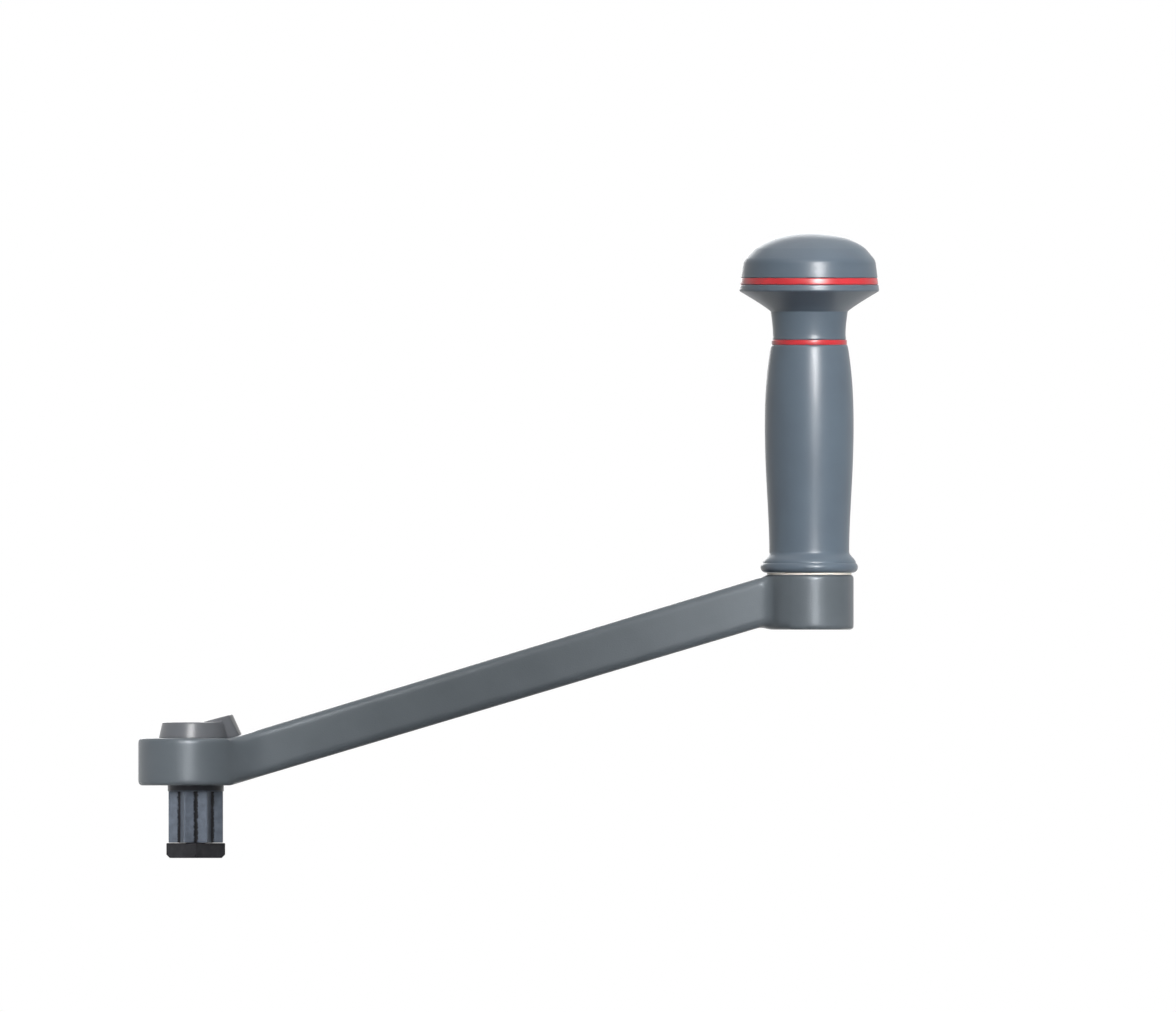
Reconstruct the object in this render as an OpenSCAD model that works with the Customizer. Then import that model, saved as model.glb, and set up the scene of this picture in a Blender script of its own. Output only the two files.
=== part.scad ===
// Locking crank handle: a forged arm with a star drive and a sprung lock plate under its hub,
// and a hand grip with a palm knob that spins on ball bearings over its boss.
// Millimetres. The origin is the middle of the hub's seat face, on the drive axis.
// +Z points up the drive axis and +X along the arm, towards the grip.

/* [Throw and heights] */
// Distance from the drive axis to the grip axis
throw_len = 254; // [203:1:305]
// Height of the hub along the drive axis
hub_h = 19.6; // [19:0.1:24]
// Height of the boss's underside above the hub's underside
boss_rise = 64.5; // [50:0.5:80]
// Height of the boss that carries the grip
boss_h = 22.8; // [20:0.1:28]

/* [Arm] */
// Radius of the hub
hub_r = 23.8; // [22:0.1:29]
// Radius of the boss
boss_r = 18.4; // [15:0.1:23]
// Width of the bar where it leaves the hub
bar_hub_w = 28; // [22:0.5:34]
// Width of the bar where it meets the boss
bar_boss_w = 19; // [15:0.5:24]
// Distance from the drive axis to the bend where the bar starts to climb
bend_x = 14.2; // [12:0.1:17]
// Height of the bar's underside above the boss's underside
bar_lift = 2; // [0:0.1:4]
// Rounding along the bar's edges
bar_round = 3; // [1.5:0.1:4]
// Radius of the fillet, seen from above, where the bar's sides leave the hub
root_round = 24; // [14:0.5:30]
// Rounding on the rims of the hub and the boss
rim_round = 1; // [0.4:0.1:1.5]

/* [Star drive] */
// Width across flats of each of the two squares that make the star
star_af = 17.46; // [16.5:0.01:19]
// How much is taken off each of the star's eight tips
star_blunt = 0.25; // [0.05:0.05:0.6]
// Length of the star below the hub
star_len = 23.7; // [20:0.1:30]
// How far the collar stands out beyond the corners of the shank
collar_lip = 1.8; // [1.2:0.1:3]
// Height of the collar that shows below the hub
collar_h = 2.5; // [1.5:0.1:4]
// Depth of the collar's seat in the hub
collar_seat = 3; // [2:0.1:4]
// Width across flats of the hexagonal shank that turns the star
hex_af = 17; // [16:0.1:18]
// Depth of the recess in the hub's top, which holds the circlip and the lock spring
recess_depth = 8.2; // [6.8:0.1:11]

/* [Lock] */
// Radius of the lock spindle
spindle_r = 4; // [3.4:0.1:4.6]
// How much smaller the square lock plate is than the star's squares
plate_clear = 0.26; // [0.1:0.02:0.8]
// Thickness of the lock plate
plate_h = 6.2; // [5:0.1:8]
// Angle the lock turns from locked to free
lock_travel = 22.5; // [15:0.5:25]
// Foot radius of the lock lever
lever_foot_r = 15.3; // [15:0.1:17]
// Depth of the shallow seat in the hub's top that the lever's foot turns in
lever_sink = 0.4; // [0.3:0.1:1]
// Top radius of the lock lever
lever_top_r = 13.8; // [12:0.1:15]
// Height of the lock lever's flat top above the hub
lever_h = 6.6; // [6:0.1:9]
// Reach of the lever's thumb lug from the drive axis
lug_reach = 19.5; // [17.5:0.1:21]
// Distance of the lug's upper tip from the drive axis
lug_tip_x = 15.2; // [14:0.1:17]
// Height of the lug's upper tip above the hub
lug_h = 10; // [8.5:0.1:12]
// Width of the thumb lug at its outer end
lug_w = 13; // [9:0.5:16]

/* [Lock spring] */
// Thickness of the spring's wire
wire_d = 1.4; // [1:0.1:1.7]

/* [Grip] */
// Height of the gap between the boss and the grip
grip_gap = 0.8; // [0.6:0.1:1.5]
// Length of the grip sleeve, from its foot to the neck ring
sleeve_len = 94.3; // [88:0.1:110]
// Height of the belly, where the sleeve is fullest, above its foot
belly_h = 60.9; // [45:0.1:75]
// Wall of the sleeve round the lower bearing, at the waist
waist_wall = 4.55; // [3:0.05:6]
// How far the bead round the foot stands out beyond the waist
bead_out = 3.6; // [2.5:0.05:5]
// How far the belly stands out beyond the waist
belly_out = 1.85; // [1:0.05:4]
// Wall of the sleeve round the upper bearing, at its top edge
top_wall = 4.9; // [4.6:0.05:6]
// Height of the neck ring
neck_ring_h = 2.1; // [1.5:0.1:3]
// Wall of the neck under the knob, at its narrowest
neck_wall = 4.05; // [3.6:0.05:5]
// Height of the neck
neck_h = 11.7; // [10:0.1:14]

/* [Knob] */
// Radius of the knob at its widest
knob_r = 29; // [27.5:0.1:33]
// Height of the cone from the neck to the widest place
cone_h = 8.5; // [8:0.1:12]
// Height from the widest place to the knob ring
lower_band_h = 2.6; // [2:0.1:4]
// Height of the knob ring
knob_ring_h = 2.8; // [2:0.1:4]
// Height from the knob ring to the cap's corner
upper_band_h = 7.3; // [5:0.1:10]
// Height of the cap's dome above its corner
dome_h = 11.8; // [9:0.1:14]
// Radius lost between the knob's widest place and the cap's corner
side_taper = 1.6; // [0.8:0.1:2.5]

/* [Bearings and post] */
// Bore radius of the lower bearing
lower_bore_r = 6; // [5.5:0.1:6.5]
// Outer radius of the lower bearing
lower_outer_r = 12; // [11:0.1:14]
// How much smaller the upper bearing's bore radius is than the lower one's
journal_drop = 1; // [0.6:0.1:1.2]
// Outer radius of the upper bearing
upper_outer_r = 11; // [10:0.1:13]
// Width of both bearings
bearing_w = 6; // [5.5:0.1:7]
// Radius of the bearing balls
ball_r = 1.7; // [1.5:0.05:1.8]
// Radius of the post's tail in the boss
tail_r = 7; // [6:0.1:8]
// How far the post screw's head sits inside the boss's underside
post_screw_sink = 0.4; // [0.2:0.1:2]

/* [Clearances] */
// Gap between pieces that are pressed or clamped together
press_gap = 0.01; // [0.005:0.005:0.02]
// Gap between pieces that turn on each other
run_gap = 0.05; // [0.02:0.01:0.08]
// Gap between the lever and the hub it sweeps over
sweep_gap = 0.3; // [0.2:0.05:0.5]
// Gap around a screw in its clearance hole
screw_gap = 0.2; // [0.1:0.05:0.3]

/* [Hidden] */

$fn = 96;
cut = 1;                 // how far a cutting shape runs past the face it opens
hull_fn = 32;            // facets of the round corners that the bar is hulled from

// Arm
boss_top = boss_rise + boss_h;
bar_overlap = 1.7;       // how far the bar's straight top reaches past the boss's near side
bar_end_x = throw_len - boss_r + bar_overlap;
bar_end_low = boss_rise + bar_lift;
root_x = sqrt(pow(hub_r + root_round, 2) - pow(bar_hub_w / 2 + root_round, 2));
root_touch = root_x * hub_r / (hub_r + root_round);
root_steps = 5;          // hulls that follow the root fillet
hub_trim = 0.1;          // how far the hub's cut-away underside lies below the bar's
relief_r = max(lug_reach, lever_foot_r) + sweep_gap;

// Star drive
floor_z = hub_h - recess_depth;
star_end = -star_len;
star_turn = 22.5;        // turns the star so that a valley faces each row axis
star_tip_r = star_af / sqrt(2) - star_blunt;
collar_r = hex_af / sqrt(3) + collar_lip;
bush_wall = 1.5;
bush_r = spindle_r + bush_wall;
bush_flange_r = bush_r + 1.5;
bush_len = 8;
lower_flange_h = 1;
upper_flange_h = 0.8;
flange_sink = 0.9;       // how deep the lower bush's flange sits in the star's end
bore_gap = 0.5;          // between the spindle and the star's bore, away from the bushes
mid_bore_r = spindle_r + bore_gap;
neck_trim = 0.3;         // how far the shank's round neck lies inside its hexagon
stud_neck_r = hex_af / 2 - neck_trim;
core_r = min(stud_neck_r, star_af / 2 - neck_trim);
neck_rise = 2.4;         // how far the shank's neck stands above the hub's floor
neck_top = floor_z + neck_rise;
circlip_h = 1.2;
circlip_groove = 0.7;
circlip_groove_r = stud_neck_r - circlip_groove;
circlip_bite = 1.8;      // how far the circlip reaches over the hub's floor
circlip_r = hex_af / 2 + circlip_bite;
circlip_open = 34;       // half the angle of the circlip's opening
ear_r = 1.3;
ear_hole_r = 0.7;
ear_at = circlip_groove_r + 1.7;

// Hub recess, and the arc pocket for the lever's stop tab
recess_r = circlip_r + 0.7;
pocket_cover = 0.6;      // how far the lever's foot reaches past the pocket
pocket_r = lever_foot_r - pocket_cover;
pocket_floor = floor_z + 3;
tab_angle = 180;
tab_half = 14;
tab_low = pocket_floor + 0.6;
tab_in_r = recess_r + 0.6;
tab_out_r = pocket_r - 0.4;
tab_gap_deg = 0.5;

// Lock plate and spindle
plate_side = star_af - plate_clear;
plate_top = star_end - lower_flange_h + flange_sink - run_gap;
plate_low = plate_top - plate_h;
plate_chamfer = 1.4;
tenon_trim = 0.06;       // keeps the tenons' corners inside the round of the spindle
tenon = spindle_r * sqrt(2) - tenon_trim;
tenon_gap = 0.03;
plate_web = 2.6;         // what is left of the plate under the spindle's tenon
low_tenon_h = plate_h - plate_web;
spindle_foot = neck_top + upper_flange_h + run_gap;
shoulder_h = 1.4;        // how far the round of the spindle enters the lever
spindle_shoulder = spindle_foot + shoulder_h;
small_screw_r = 2;
small_tap_depth = 10;
small_hex_af = 2.5;
small_hex_depth = 1.3;
csk_r = small_screw_r + 1.8;
csk_h = 1.8;
o_ring_r = 0.74;
o_ring_drop = 3.8;       // from the upper bush down to the middle of the O-ring
o_ring_z = neck_top - bush_len - o_ring_drop;
o_ring_groove_r = spindle_r - 1;
o_ring_groove_h = 2 * o_ring_r + 0.4;

// Lever
seat_z = hub_h - lever_sink;
lever_low = seat_z + sweep_gap;
lever_top = hub_h + lever_h;
lever_washer_r = small_screw_r + 3;
lever_washer_h = 0.8;
lever_head_r = small_screw_r + 2;
lever_head_h = 1.8;
head_sink = 0.1;         // how far the lever's screw head lies below its top
lever_seat = lever_top - lever_washer_h - lever_head_h - head_sink;
tenon_top = lever_seat - 0.2;
lug_start = 2.5;         // where the thumb lug starts to rise, from the drive axis
lug_foot_h = 0.6;
lug_spread = 1.5;        // the lug's width at the drive axis, over its width at its end

// Spring: as many turns as fit between the circlip and the lever, and a quarter more
coil_r = stud_neck_r + 0.5 + wire_d / 2;
lever_boss_r = coil_r - wire_d / 2 - 0.7;
coil_low_z = floor_z + circlip_h + 0.1 + wire_d / 2;
coil_top_z = lever_low - 0.35 - wire_d / 2;
coil_room = coil_top_z - coil_low_z;
coil_turns = 0.25 + max(1, floor(coil_room / (1.1 * wire_d) - 0.25));
coil_pitch = coil_room / coil_turns;
leg_angle = 90;
leg_r = wire_d * 0.45;   // a little inside the coil's wire, so that each leg starts within it
leg_hole_depth = 3;
leg_end_gap = 0.5;
coil_steps = 26;         // rings in one turn of the spring
wire_sides = 8;

// Post and bearings
boss_top_gap = 0.4;      // between the post's flange and the lower bearing's inner race
foot_z = boss_top + grip_gap;
flange_r = lower_outer_r - 2;
flange_h = 2.3;
race_low = boss_top + flange_h + boss_top_gap;
race_top = race_low + bearing_w;
neck_ring_z = foot_z + sleeve_len;
spigot_h = 8.4;          // how deep the knob's spigot enters the sleeve
upper_race_top = neck_ring_z - spigot_h;
upper_race_low = upper_race_top - bearing_w;
journal_step = upper_race_low - 4;
post_top = upper_race_top - 0.2;
large_screw_r = 4;
large_screw_len = 18;
large_washer_r = tail_r + 1.5;
large_washer_h = 1.6;
large_head_r = 6.5;
large_head_h = 8;
large_head_round = 0.6;
large_hex_af = 6;
large_hex_depth = 4;
large_tap_depth = 22;
post_recess_r = large_washer_r + 0.5;
post_recess_h = large_washer_h + large_head_h + post_screw_sink;
recess_roof = boss_rise + post_recess_h;
tail_low = recess_roof + 0.3;
end_screw_r = 3;
end_screw_len = 13;
end_tap_depth = 16;
end_washer_h = 1.2;
end_head_r = 5.2;
end_head_h = 3.2;
end_head_round = 1;
end_hex_af = 4;
end_hex_depth = 2;
race_groove_gap = 0.08;
race_half = 1;           // from the pitch circle to each race's nearer side
cage_half = 0.75;
cage_h = 5;
pocket_gap = 0.12;
upper_bore_r = lower_bore_r - journal_drop;
lower_pitch_r = (lower_bore_r + lower_outer_r) / 2;
upper_pitch_r = (upper_bore_r + upper_outer_r) / 2;
lower_inner_r = lower_pitch_r - race_half;
upper_inner_r = upper_pitch_r - race_half;
ball_spread = 1.65;      // from ball to ball round the pitch circle, in ball diameters
function ball_count(pitch_r) = round(2 * PI * pitch_r / (2 * ball_r * ball_spread));
spacer_r = lower_inner_r - 0.5;
seat_step = 0.8;         // step in the sleeve's bore that each outer race sits against
sleeve_bore_r = min(lower_outer_r, upper_outer_r) - seat_step;
spigot_bore_r = upper_pitch_r + race_half + 0.6;
end_washer_r = upper_inner_r - 0.2;
thrust_out_r = min(boss_r, lower_outer_r + waist_wall + bead_out) - 0.9;
thrust_in_r = flange_r + 0.4;

// Grip
waist_r = lower_outer_r + waist_wall;
bead_r = waist_r + bead_out;
belly_r = waist_r + belly_out;
sleeve_top_r = upper_outer_r + top_wall;
neck_r = upper_outer_r + neck_wall;
bead_round = 2.25;
bead_x = bead_r - bead_round;
bead_z = foot_z + bead_round;
bead_end = 50;           // angle on the bead where the flare starts
flare_start_r = bead_x + bead_round * cos(bead_end);
flare_start_z = bead_z + bead_round * sin(bead_end);
flare_top = foot_z + 8.7;
belly_z = foot_z + belly_h;
neck_ring_r = sleeve_top_r - 0.3;

// Knob
neck_low = neck_ring_z + neck_ring_h;
neck_foot_r = sleeve_top_r - 0.6;
neck_dip = 0.2;          // where the neck is narrowest, as a share of its height
cone_low = neck_low + neck_h;
cone_low_r = neck_r + 0.9;
wide_z = cone_low + cone_h;
ring_low = wide_z + lower_band_h;
ring_high = ring_low + knob_ring_h;
ring_sink = 0.1;         // how far the red ring sits below the knob's side
corner_z = ring_high + upper_band_h;
corner_r = knob_r - side_taper;
knob_top = corner_z + dome_h;
knob_screw_r = 1.1;
knob_screw_bite = 5.9;   // how deep the knob's screws reach into the sleeve
knob_screw_wall = 0.8;   // wall between each screw and the upper bearing's seat
knob_head_r = 2.1;
knob_head_h = 1.6;
knob_hex_af = 1.6;
knob_hex_depth = 0.9;
knob_screw_angles = [90, 210, 330];
screw_circle_r = upper_outer_r + knob_screw_wall + knob_screw_r;
bowl_floor = cone_low + 2.3;
bowl_floor_r = screw_circle_r + knob_head_r + 0.5;
knob_screw_len = bowl_floor - neck_ring_z + knob_screw_bite;
knob_wall = 3.5;         // wall of the knob beside the ring
skirt_wall = 2.4;
skirt_depth = 1.4;
skirt_ledge = 1.7;       // width of the ledge under the skirt
ledge_h = 0.9;
cap_wall = 3;

// The knob's side is a straight taper from its widest place up to the cap's corner.
function side_r(z) = knob_r - side_taper * (z - wide_z) / (corner_z - wide_z);
skirt_r = side_r(ring_low) - knob_wall;

// Points of an arc about a centre, from one angle to another
function arc(cx, cy, r, from, to, steps) =
    [for (i = [0:steps]) let (a = from + (to - from) * i / steps) [cx + r * cos(a), cy + r * sin(a)]];

// Outline of the grip's outside, from the foot up to the neck ring: a rounded bead,
// a quick flare in to the waist, a slow swell to the belly and a faster draw-in at the top.
function flare(t) = [
    waist_r + (flare_start_r - waist_r) * (1 + cos(180 * t)) / 2,
    flare_start_z + (flare_top - flare_start_z) * t
];
function swell(t) = [
    waist_r + (belly_r - waist_r) * pow(sin(90 * pow(t, 0.9)), 2),
    flare_top + (belly_z - flare_top) * t
];
function draw_in(t) = [
    belly_r - (belly_r - sleeve_top_r) * pow(t, 2.3),
    belly_z + (neck_ring_z - belly_z) * t
];
function grip_outline() = concat(
    arc(bead_x, bead_z, bead_round, -90, bead_end, 10),
    [for (i = [1:8]) flare(i / 8)],
    [for (i = [1:16]) swell(i / 16)],
    [for (i = [1:12]) draw_in(i / 12)]
);

// Outline of the neck and the cone, from the neck ring up to the knob ring
function neck_at(t) = t < neck_dip
    ? neck_r + (neck_foot_r - neck_r) * pow(1 - t / neck_dip, 2)
    : neck_r + (cone_low_r - neck_r) * pow((t - neck_dip) / (1 - neck_dip), 1.6);
function cone_at(t) = cone_low_r + (knob_r - cone_low_r) * pow(t, 1.12);
function knob_base_outline() = concat(
    [for (i = [0:10]) [neck_at(i / 10), neck_low + neck_h * i / 10]],
    [for (i = [1:5]) [cone_at(i / 5), cone_low + cone_h * i / 5]],
    [[side_r(ring_low), ring_low]]
);

// Outline of the dome: a quarter of an ellipse, cut off at the cap's corner
dome_a = corner_r * 1.045;
function dome_point(a, wall) =
    let (b = dome_h / (1 - sqrt(1 - pow(corner_r / dome_a, 2))), z0 = knob_top - b)
    [(dome_a - wall) * cos(a), z0 + (b - wall) * sin(a)];
dome_start = acos(corner_r / dome_a);
function dome(wall, steps) =
    [for (i = [0:steps]) dome_point(dome_start + (90 - dome_start) * i / steps, wall)];

// A round washer or tube standing on z
module tube(r_out, r_in, z, h) {
    translate([0, 0, z])
        difference() {
            cylinder(r = r_out, h = h);
            translate([0, 0, -cut]) cylinder(r = r_in, h = h + 2 * cut);
        }
}

// A disc whose two rims are rounded
module rounded_disc(r, z, h, round_r) {
    translate([0, 0, z])
        rotate_extrude()
            polygon(concat(
                [[0, 0]],
                arc(r - round_r, round_r, round_r, -90, 0, 6),
                arc(r - round_r, h - round_r, round_r, 0, 90, 6),
                [[0, h]]
            ));
}

// The bar's width, with the root fillet that widens it into the hub
function root_flare(x) =
    let (u = max(0, root_x - max(x, root_touch)))
    root_round - sqrt(root_round * root_round - u * u);
function bar_share(x) = min(1, (x - bend_x) / (bar_end_x - bend_x));
function bar_width(x) =
    bar_hub_w + (bar_boss_w - bar_hub_w) * bar_share(x) + 2 * root_flare(x);
function bar_low(x) = bar_end_low * (x - bend_x) / (bar_end_x - bend_x);
function bar_high(x) = hub_h + (boss_top - hub_h) * bar_share(x);

// The bar is hulled between upright slices. Each has four round corners.
module bar_slice(x) {
    slice = 0.02;
    width = bar_width(x);
    low = bar_low(x);
    high = bar_high(x);
    for (y = [-1, 1])
        for (z = [low + bar_round, high - bar_round])
            translate([x, y * (width / 2 - bar_round), z])
                rotate([0, 90, 0]) cylinder(r = bar_round, h = slice, center = true, $fn = hull_fn);
}

// A wedge of a disc about the drive axis, between two angles less than 180 degrees apart
module sector(r, from, to, z, h) {
    reach = 3 * r;
    translate([0, 0, z])
        linear_extrude(height = h)
            polygon([
                [0, 0],
                [reach * cos(from), reach * sin(from)],
                [reach * cos((from + to) / 2), reach * sin((from + to) / 2)],
                [reach * cos(to), reach * sin(to)]
            ]);
}

// Part of a thick ring between two angles
module ring_part(r_out, r_in, from, to, z, h) {
    intersection() {
        tube(r_out, r_in, z, h);
        sector(r_out, from, to, z - cut, h + 2 * cut);
    }
}

module hexagon(af, z, h) {
    translate([0, 0, z]) cylinder(r = af / sqrt(3), h = h, $fn = 6);
}

// The hub, with its underside cut away along the slope of the bar
module hub_blank() {
    difference() {
        rounded_disc(hub_r, 0, hub_h, rim_round);
        translate([0, hub_r + cut, -hub_trim])
            rotate([90, 0, 0])
                linear_extrude(height = 2 * (hub_r + cut))
                    polygon([
                        [bend_x, 0],
                        [root_x, bar_low(root_x)],
                        [root_x, -cut],
                        [bend_x, -cut]
                    ]);
    }
}

module arm() {
    root = [for (i = [0:root_steps]) bend_x + (root_x - bend_x) * i / root_steps];
    slices = concat(root, [bar_end_x, throw_len - boss_r / 2]);
    color("slategray")
        difference() {
            union() {
                hub_blank();
                translate([throw_len, 0, 0]) rounded_disc(boss_r, boss_rise, boss_h, rim_round);
                for (i = [0:len(slices) - 2])
                    hull() {
                        bar_slice(slices[i]);
                        bar_slice(slices[i + 1]);
                    }
            }
            // Seat of the star's collar, hexagon for its shank, recess for the spring
            translate([0, 0, -cut]) cylinder(r = collar_r + run_gap, h = collar_seat + cut);
            hexagon(hex_af + 2 * press_gap, collar_seat - cut, floor_z - collar_seat + 2 * cut);
            translate([0, 0, floor_z]) cylinder(r = recess_r, h = hub_h);
            // Arc pocket whose two ends stop the lever
            ring_part(
                pocket_r, recess_r - cut,
                tab_angle - tab_half - tab_gap_deg,
                tab_angle + tab_half + lock_travel + tab_gap_deg,
                pocket_floor, hub_h
            );
            // Slot that holds the spring's lower leg
            rotate([0, 0, leg_angle])
                translate([0, -wire_d / 2 - screw_gap, floor_z + circlip_h])
                    cube([pocket_r, wire_d + 2 * screw_gap, hub_h]);
            // Shallow seat that the lever turns in, which also clears its lug at the root of the bar
            translate([0, 0, seat_z]) cylinder(r = relief_r, h = boss_rise);
            // Bore for the post's tail, and the recess for its screw
            translate([throw_len, 0, boss_rise - cut]) {
                cylinder(r = tail_r + press_gap, h = boss_h + 2 * cut);
                cylinder(r = post_recess_r, h = post_recess_h + cut);
            }
        }
}

module star_drive() {
    star_body_h = star_len - collar_h;
    color("dimgray")
        difference() {
            union() {
                intersection() {
                    union()
                        for (a = [star_turn, star_turn + 45])
                            rotate([0, 0, a]) square_bar(star_af, star_end, star_body_h);
                    translate([0, 0, star_end]) cylinder(r = star_tip_r, h = star_body_h);
                }
                translate([0, 0, -collar_h]) cylinder(r = collar_r, h = collar_h + collar_seat);
                hexagon(hex_af, 0, floor_z);
                translate([0, 0, floor_z - cut]) cylinder(r = stud_neck_r, h = neck_rise + cut);
                // The core joins the star and its collar into one.
                translate([0, 0, star_end]) cylinder(r = core_r, h = star_len + floor_z);
            }
            translate([0, 0, star_end - cut]) {
                cylinder(r = mid_bore_r, h = star_len + neck_top + 2 * cut);
                cylinder(r = bush_flange_r + run_gap, h = flange_sink + cut);
                cylinder(r = bush_r + press_gap, h = flange_sink + bush_len + cut);
            }
            translate([0, 0, neck_top - bush_len]) cylinder(r = bush_r + press_gap, h = bush_len + cut);
            tube(stud_neck_r + cut, circlip_groove_r, floor_z, circlip_h + run_gap);
        }
}

module stud_circlip() {
    color("silver")
        translate([0, 0, floor_z])
            difference() {
                union() {
                    difference() {
                        cylinder(r = circlip_r, h = circlip_h);
                        translate([0, 0, -cut])
                            cylinder(r = circlip_groove_r + press_gap, h = circlip_h + 2 * cut);
                        sector(circlip_r, -circlip_open, circlip_open, -cut, circlip_h + 2 * cut);
                    }
                    for (a = [-circlip_open, circlip_open])
                        rotate([0, 0, a]) translate([ear_at, 0, 0]) cylinder(r = ear_r, h = circlip_h);
                }
                for (a = [-circlip_open, circlip_open])
                    rotate([0, 0, a])
                        translate([ear_at, 0, -cut]) cylinder(r = ear_hole_r, h = circlip_h + 2 * cut);
            }
}

// A flanged bush; the flange is at the foot when up is 1 and at the head when it is -1.
module flanged_bush(z, flange_h, up) {
    translate([0, 0, z])
        mirror([0, 0, up < 0 ? 1 : 0])
            difference() {
                union() {
                    cylinder(r = bush_flange_r, h = flange_h);
                    cylinder(r = bush_r, h = flange_h + bush_len);
                }
                translate([0, 0, -cut])
                    cylinder(r = spindle_r + run_gap, h = flange_h + bush_len + 2 * cut);
            }
}

module lower_bush() {
    color("ivory") flanged_bush(star_end - lower_flange_h + flange_sink, lower_flange_h, 1);
}

module upper_bush() {
    color("ivory") flanged_bush(neck_top + upper_flange_h, upper_flange_h, -1);
}

// A square bar standing on z
module square_bar(side, z, h) {
    translate([0, 0, z + h / 2]) cube([side, side, h], center = true);
}

module lock_spindle() {
    color("silver")
        difference() {
            union() {
                translate([0, 0, plate_top]) cylinder(r = spindle_r, h = spindle_shoulder - plate_top);
                rotate([0, 0, 45]) square_bar(tenon, plate_top - low_tenon_h, low_tenon_h + cut);
                square_bar(tenon, spindle_shoulder - cut, tenon_top - spindle_shoulder + cut);
            }
            tube(spindle_r + cut, o_ring_groove_r, o_ring_z - o_ring_groove_h / 2, o_ring_groove_h);
            translate([0, 0, plate_top - low_tenon_h - cut])
                cylinder(r = small_screw_r, h = low_tenon_h + small_tap_depth + cut);
            translate([0, 0, tenon_top - small_tap_depth])
                cylinder(r = small_screw_r, h = small_tap_depth + cut);
        }
}

module spindle_o_ring() {
    color("black")
        translate([0, 0, o_ring_z])
            rotate_extrude() translate([o_ring_groove_r + o_ring_r, 0]) circle(r = o_ring_r);
}

module lock_plate() {
    half = plate_side / sqrt(2);
    color("dimgray")
        difference() {
            intersection() {
                rotate([0, 0, 45]) square_bar(plate_side, plate_low, plate_h);
                // The lower edge is a cone that eases the plate into its socket.
                union() {
                    translate([0, 0, plate_low])
                        cylinder(r1 = half - plate_chamfer, r2 = half, h = plate_chamfer);
                    translate([0, 0, plate_low + plate_chamfer])
                        cylinder(r = half, h = plate_h - plate_chamfer);
                }
            }
            rotate([0, 0, 45])
                square_bar(tenon + 2 * tenon_gap, plate_top - low_tenon_h - tenon_gap, low_tenon_h + cut);
            translate([0, 0, plate_low - cut]) cylinder(r = small_screw_r + screw_gap, h = plate_h);
            translate([0, 0, plate_low]) cylinder(r1 = csk_r, r2 = small_screw_r, h = csk_h);
        }
}

module plate_screw() {
    head_trim = 0.05;
    head_h = csk_h - head_trim;
    color("silver")
        difference() {
            union() {
                translate([0, 0, plate_low])
                    cylinder(r1 = csk_r - head_trim, r2 = small_screw_r - press_gap, h = head_h);
                translate([0, 0, plate_low + head_h / 2])
                    cylinder(r = small_screw_r - press_gap, h = plate_h + small_tap_depth - head_h - 1);
            }
            hexagon(small_hex_af, plate_low - cut, small_hex_depth + cut);
        }
}

// The spring's coil is swept along a helix that starts over the slot in the hub.
function coil_ring(i) =
    let (turn = i / coil_steps, a = leg_angle + 360 * turn, z = coil_low_z + coil_pitch * turn)
    [for (s = [0:wire_sides - 1])
        let (b = 360 * s / wire_sides, r = coil_r + wire_d / 2 * cos(b))
        [r * cos(a), r * sin(a), z + wire_d / 2 * sin(b)]];

module coil() {
    last = round(coil_steps * coil_turns);
    points = [for (i = [0:last]) each coil_ring(i)];
    sides = [for (i = [0:last - 1]) for (s = [0:wire_sides - 1])
        let (next = (s + 1) % wire_sides, low = i * wire_sides, high = low + wire_sides)
        [low + s, low + next, high + next, high + s]];
    start_cap = [for (s = [wire_sides - 1:-1:0]) s];
    end_cap = [for (s = [0:wire_sides - 1]) last * wire_sides + s];
    polyhedron(points = points, faces = concat(sides, [start_cap, end_cap]), convexity = 10);
}

// The lower leg points outwards into the hub's slot, and the upper one up into the lever.
module lock_spring() {
    color("silver")
        union() {
            coil();
            rotate([0, 0, leg_angle])
                translate([coil_r, 0, coil_low_z])
                    rotate([0, 90, 0]) cylinder(r = leg_r, h = pocket_r - coil_r - leg_end_gap);
            rotate([0, 0, leg_angle + 360 * coil_turns])
                translate([coil_r, 0, coil_top_z])
                    cylinder(r = leg_r, h = lever_low + leg_hole_depth - leg_end_gap - coil_top_z);
        }
}

// Thumb lug: a ramp that ends in a steep round flank
module thumb_lug() {
    ramp = (lug_h - lever_h) / (lug_tip_x - lug_start);
    lug_end = lug_reach + cut;
    intersection() {
        rotate_extrude()
            polygon([
                [0, lever_low],
                [lug_reach, lever_low],
                [lug_reach, lever_low + lug_foot_h],
                [lug_tip_x, hub_h + lug_h],
                [0, hub_h + lug_h]
            ]);
        translate([0, lug_w, 0])
            rotate([90, 0, 0])
                linear_extrude(height = 2 * lug_w)
                    polygon([
                        [0, lever_low],
                        [lug_end, lever_low],
                        [lug_end, lever_top + ramp * (lug_end - lug_start)],
                        [lug_start, lever_top],
                        [0, lever_top]
                    ]);
        translate([0, 0, lever_low])
            linear_extrude(height = lug_h + cut)
                polygon([
                    [0, -lug_w * lug_spread / 2],
                    [lug_end, -lug_w / 2],
                    [lug_end, lug_w / 2],
                    [0, lug_w * lug_spread / 2]
                ]);
    }
}

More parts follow.
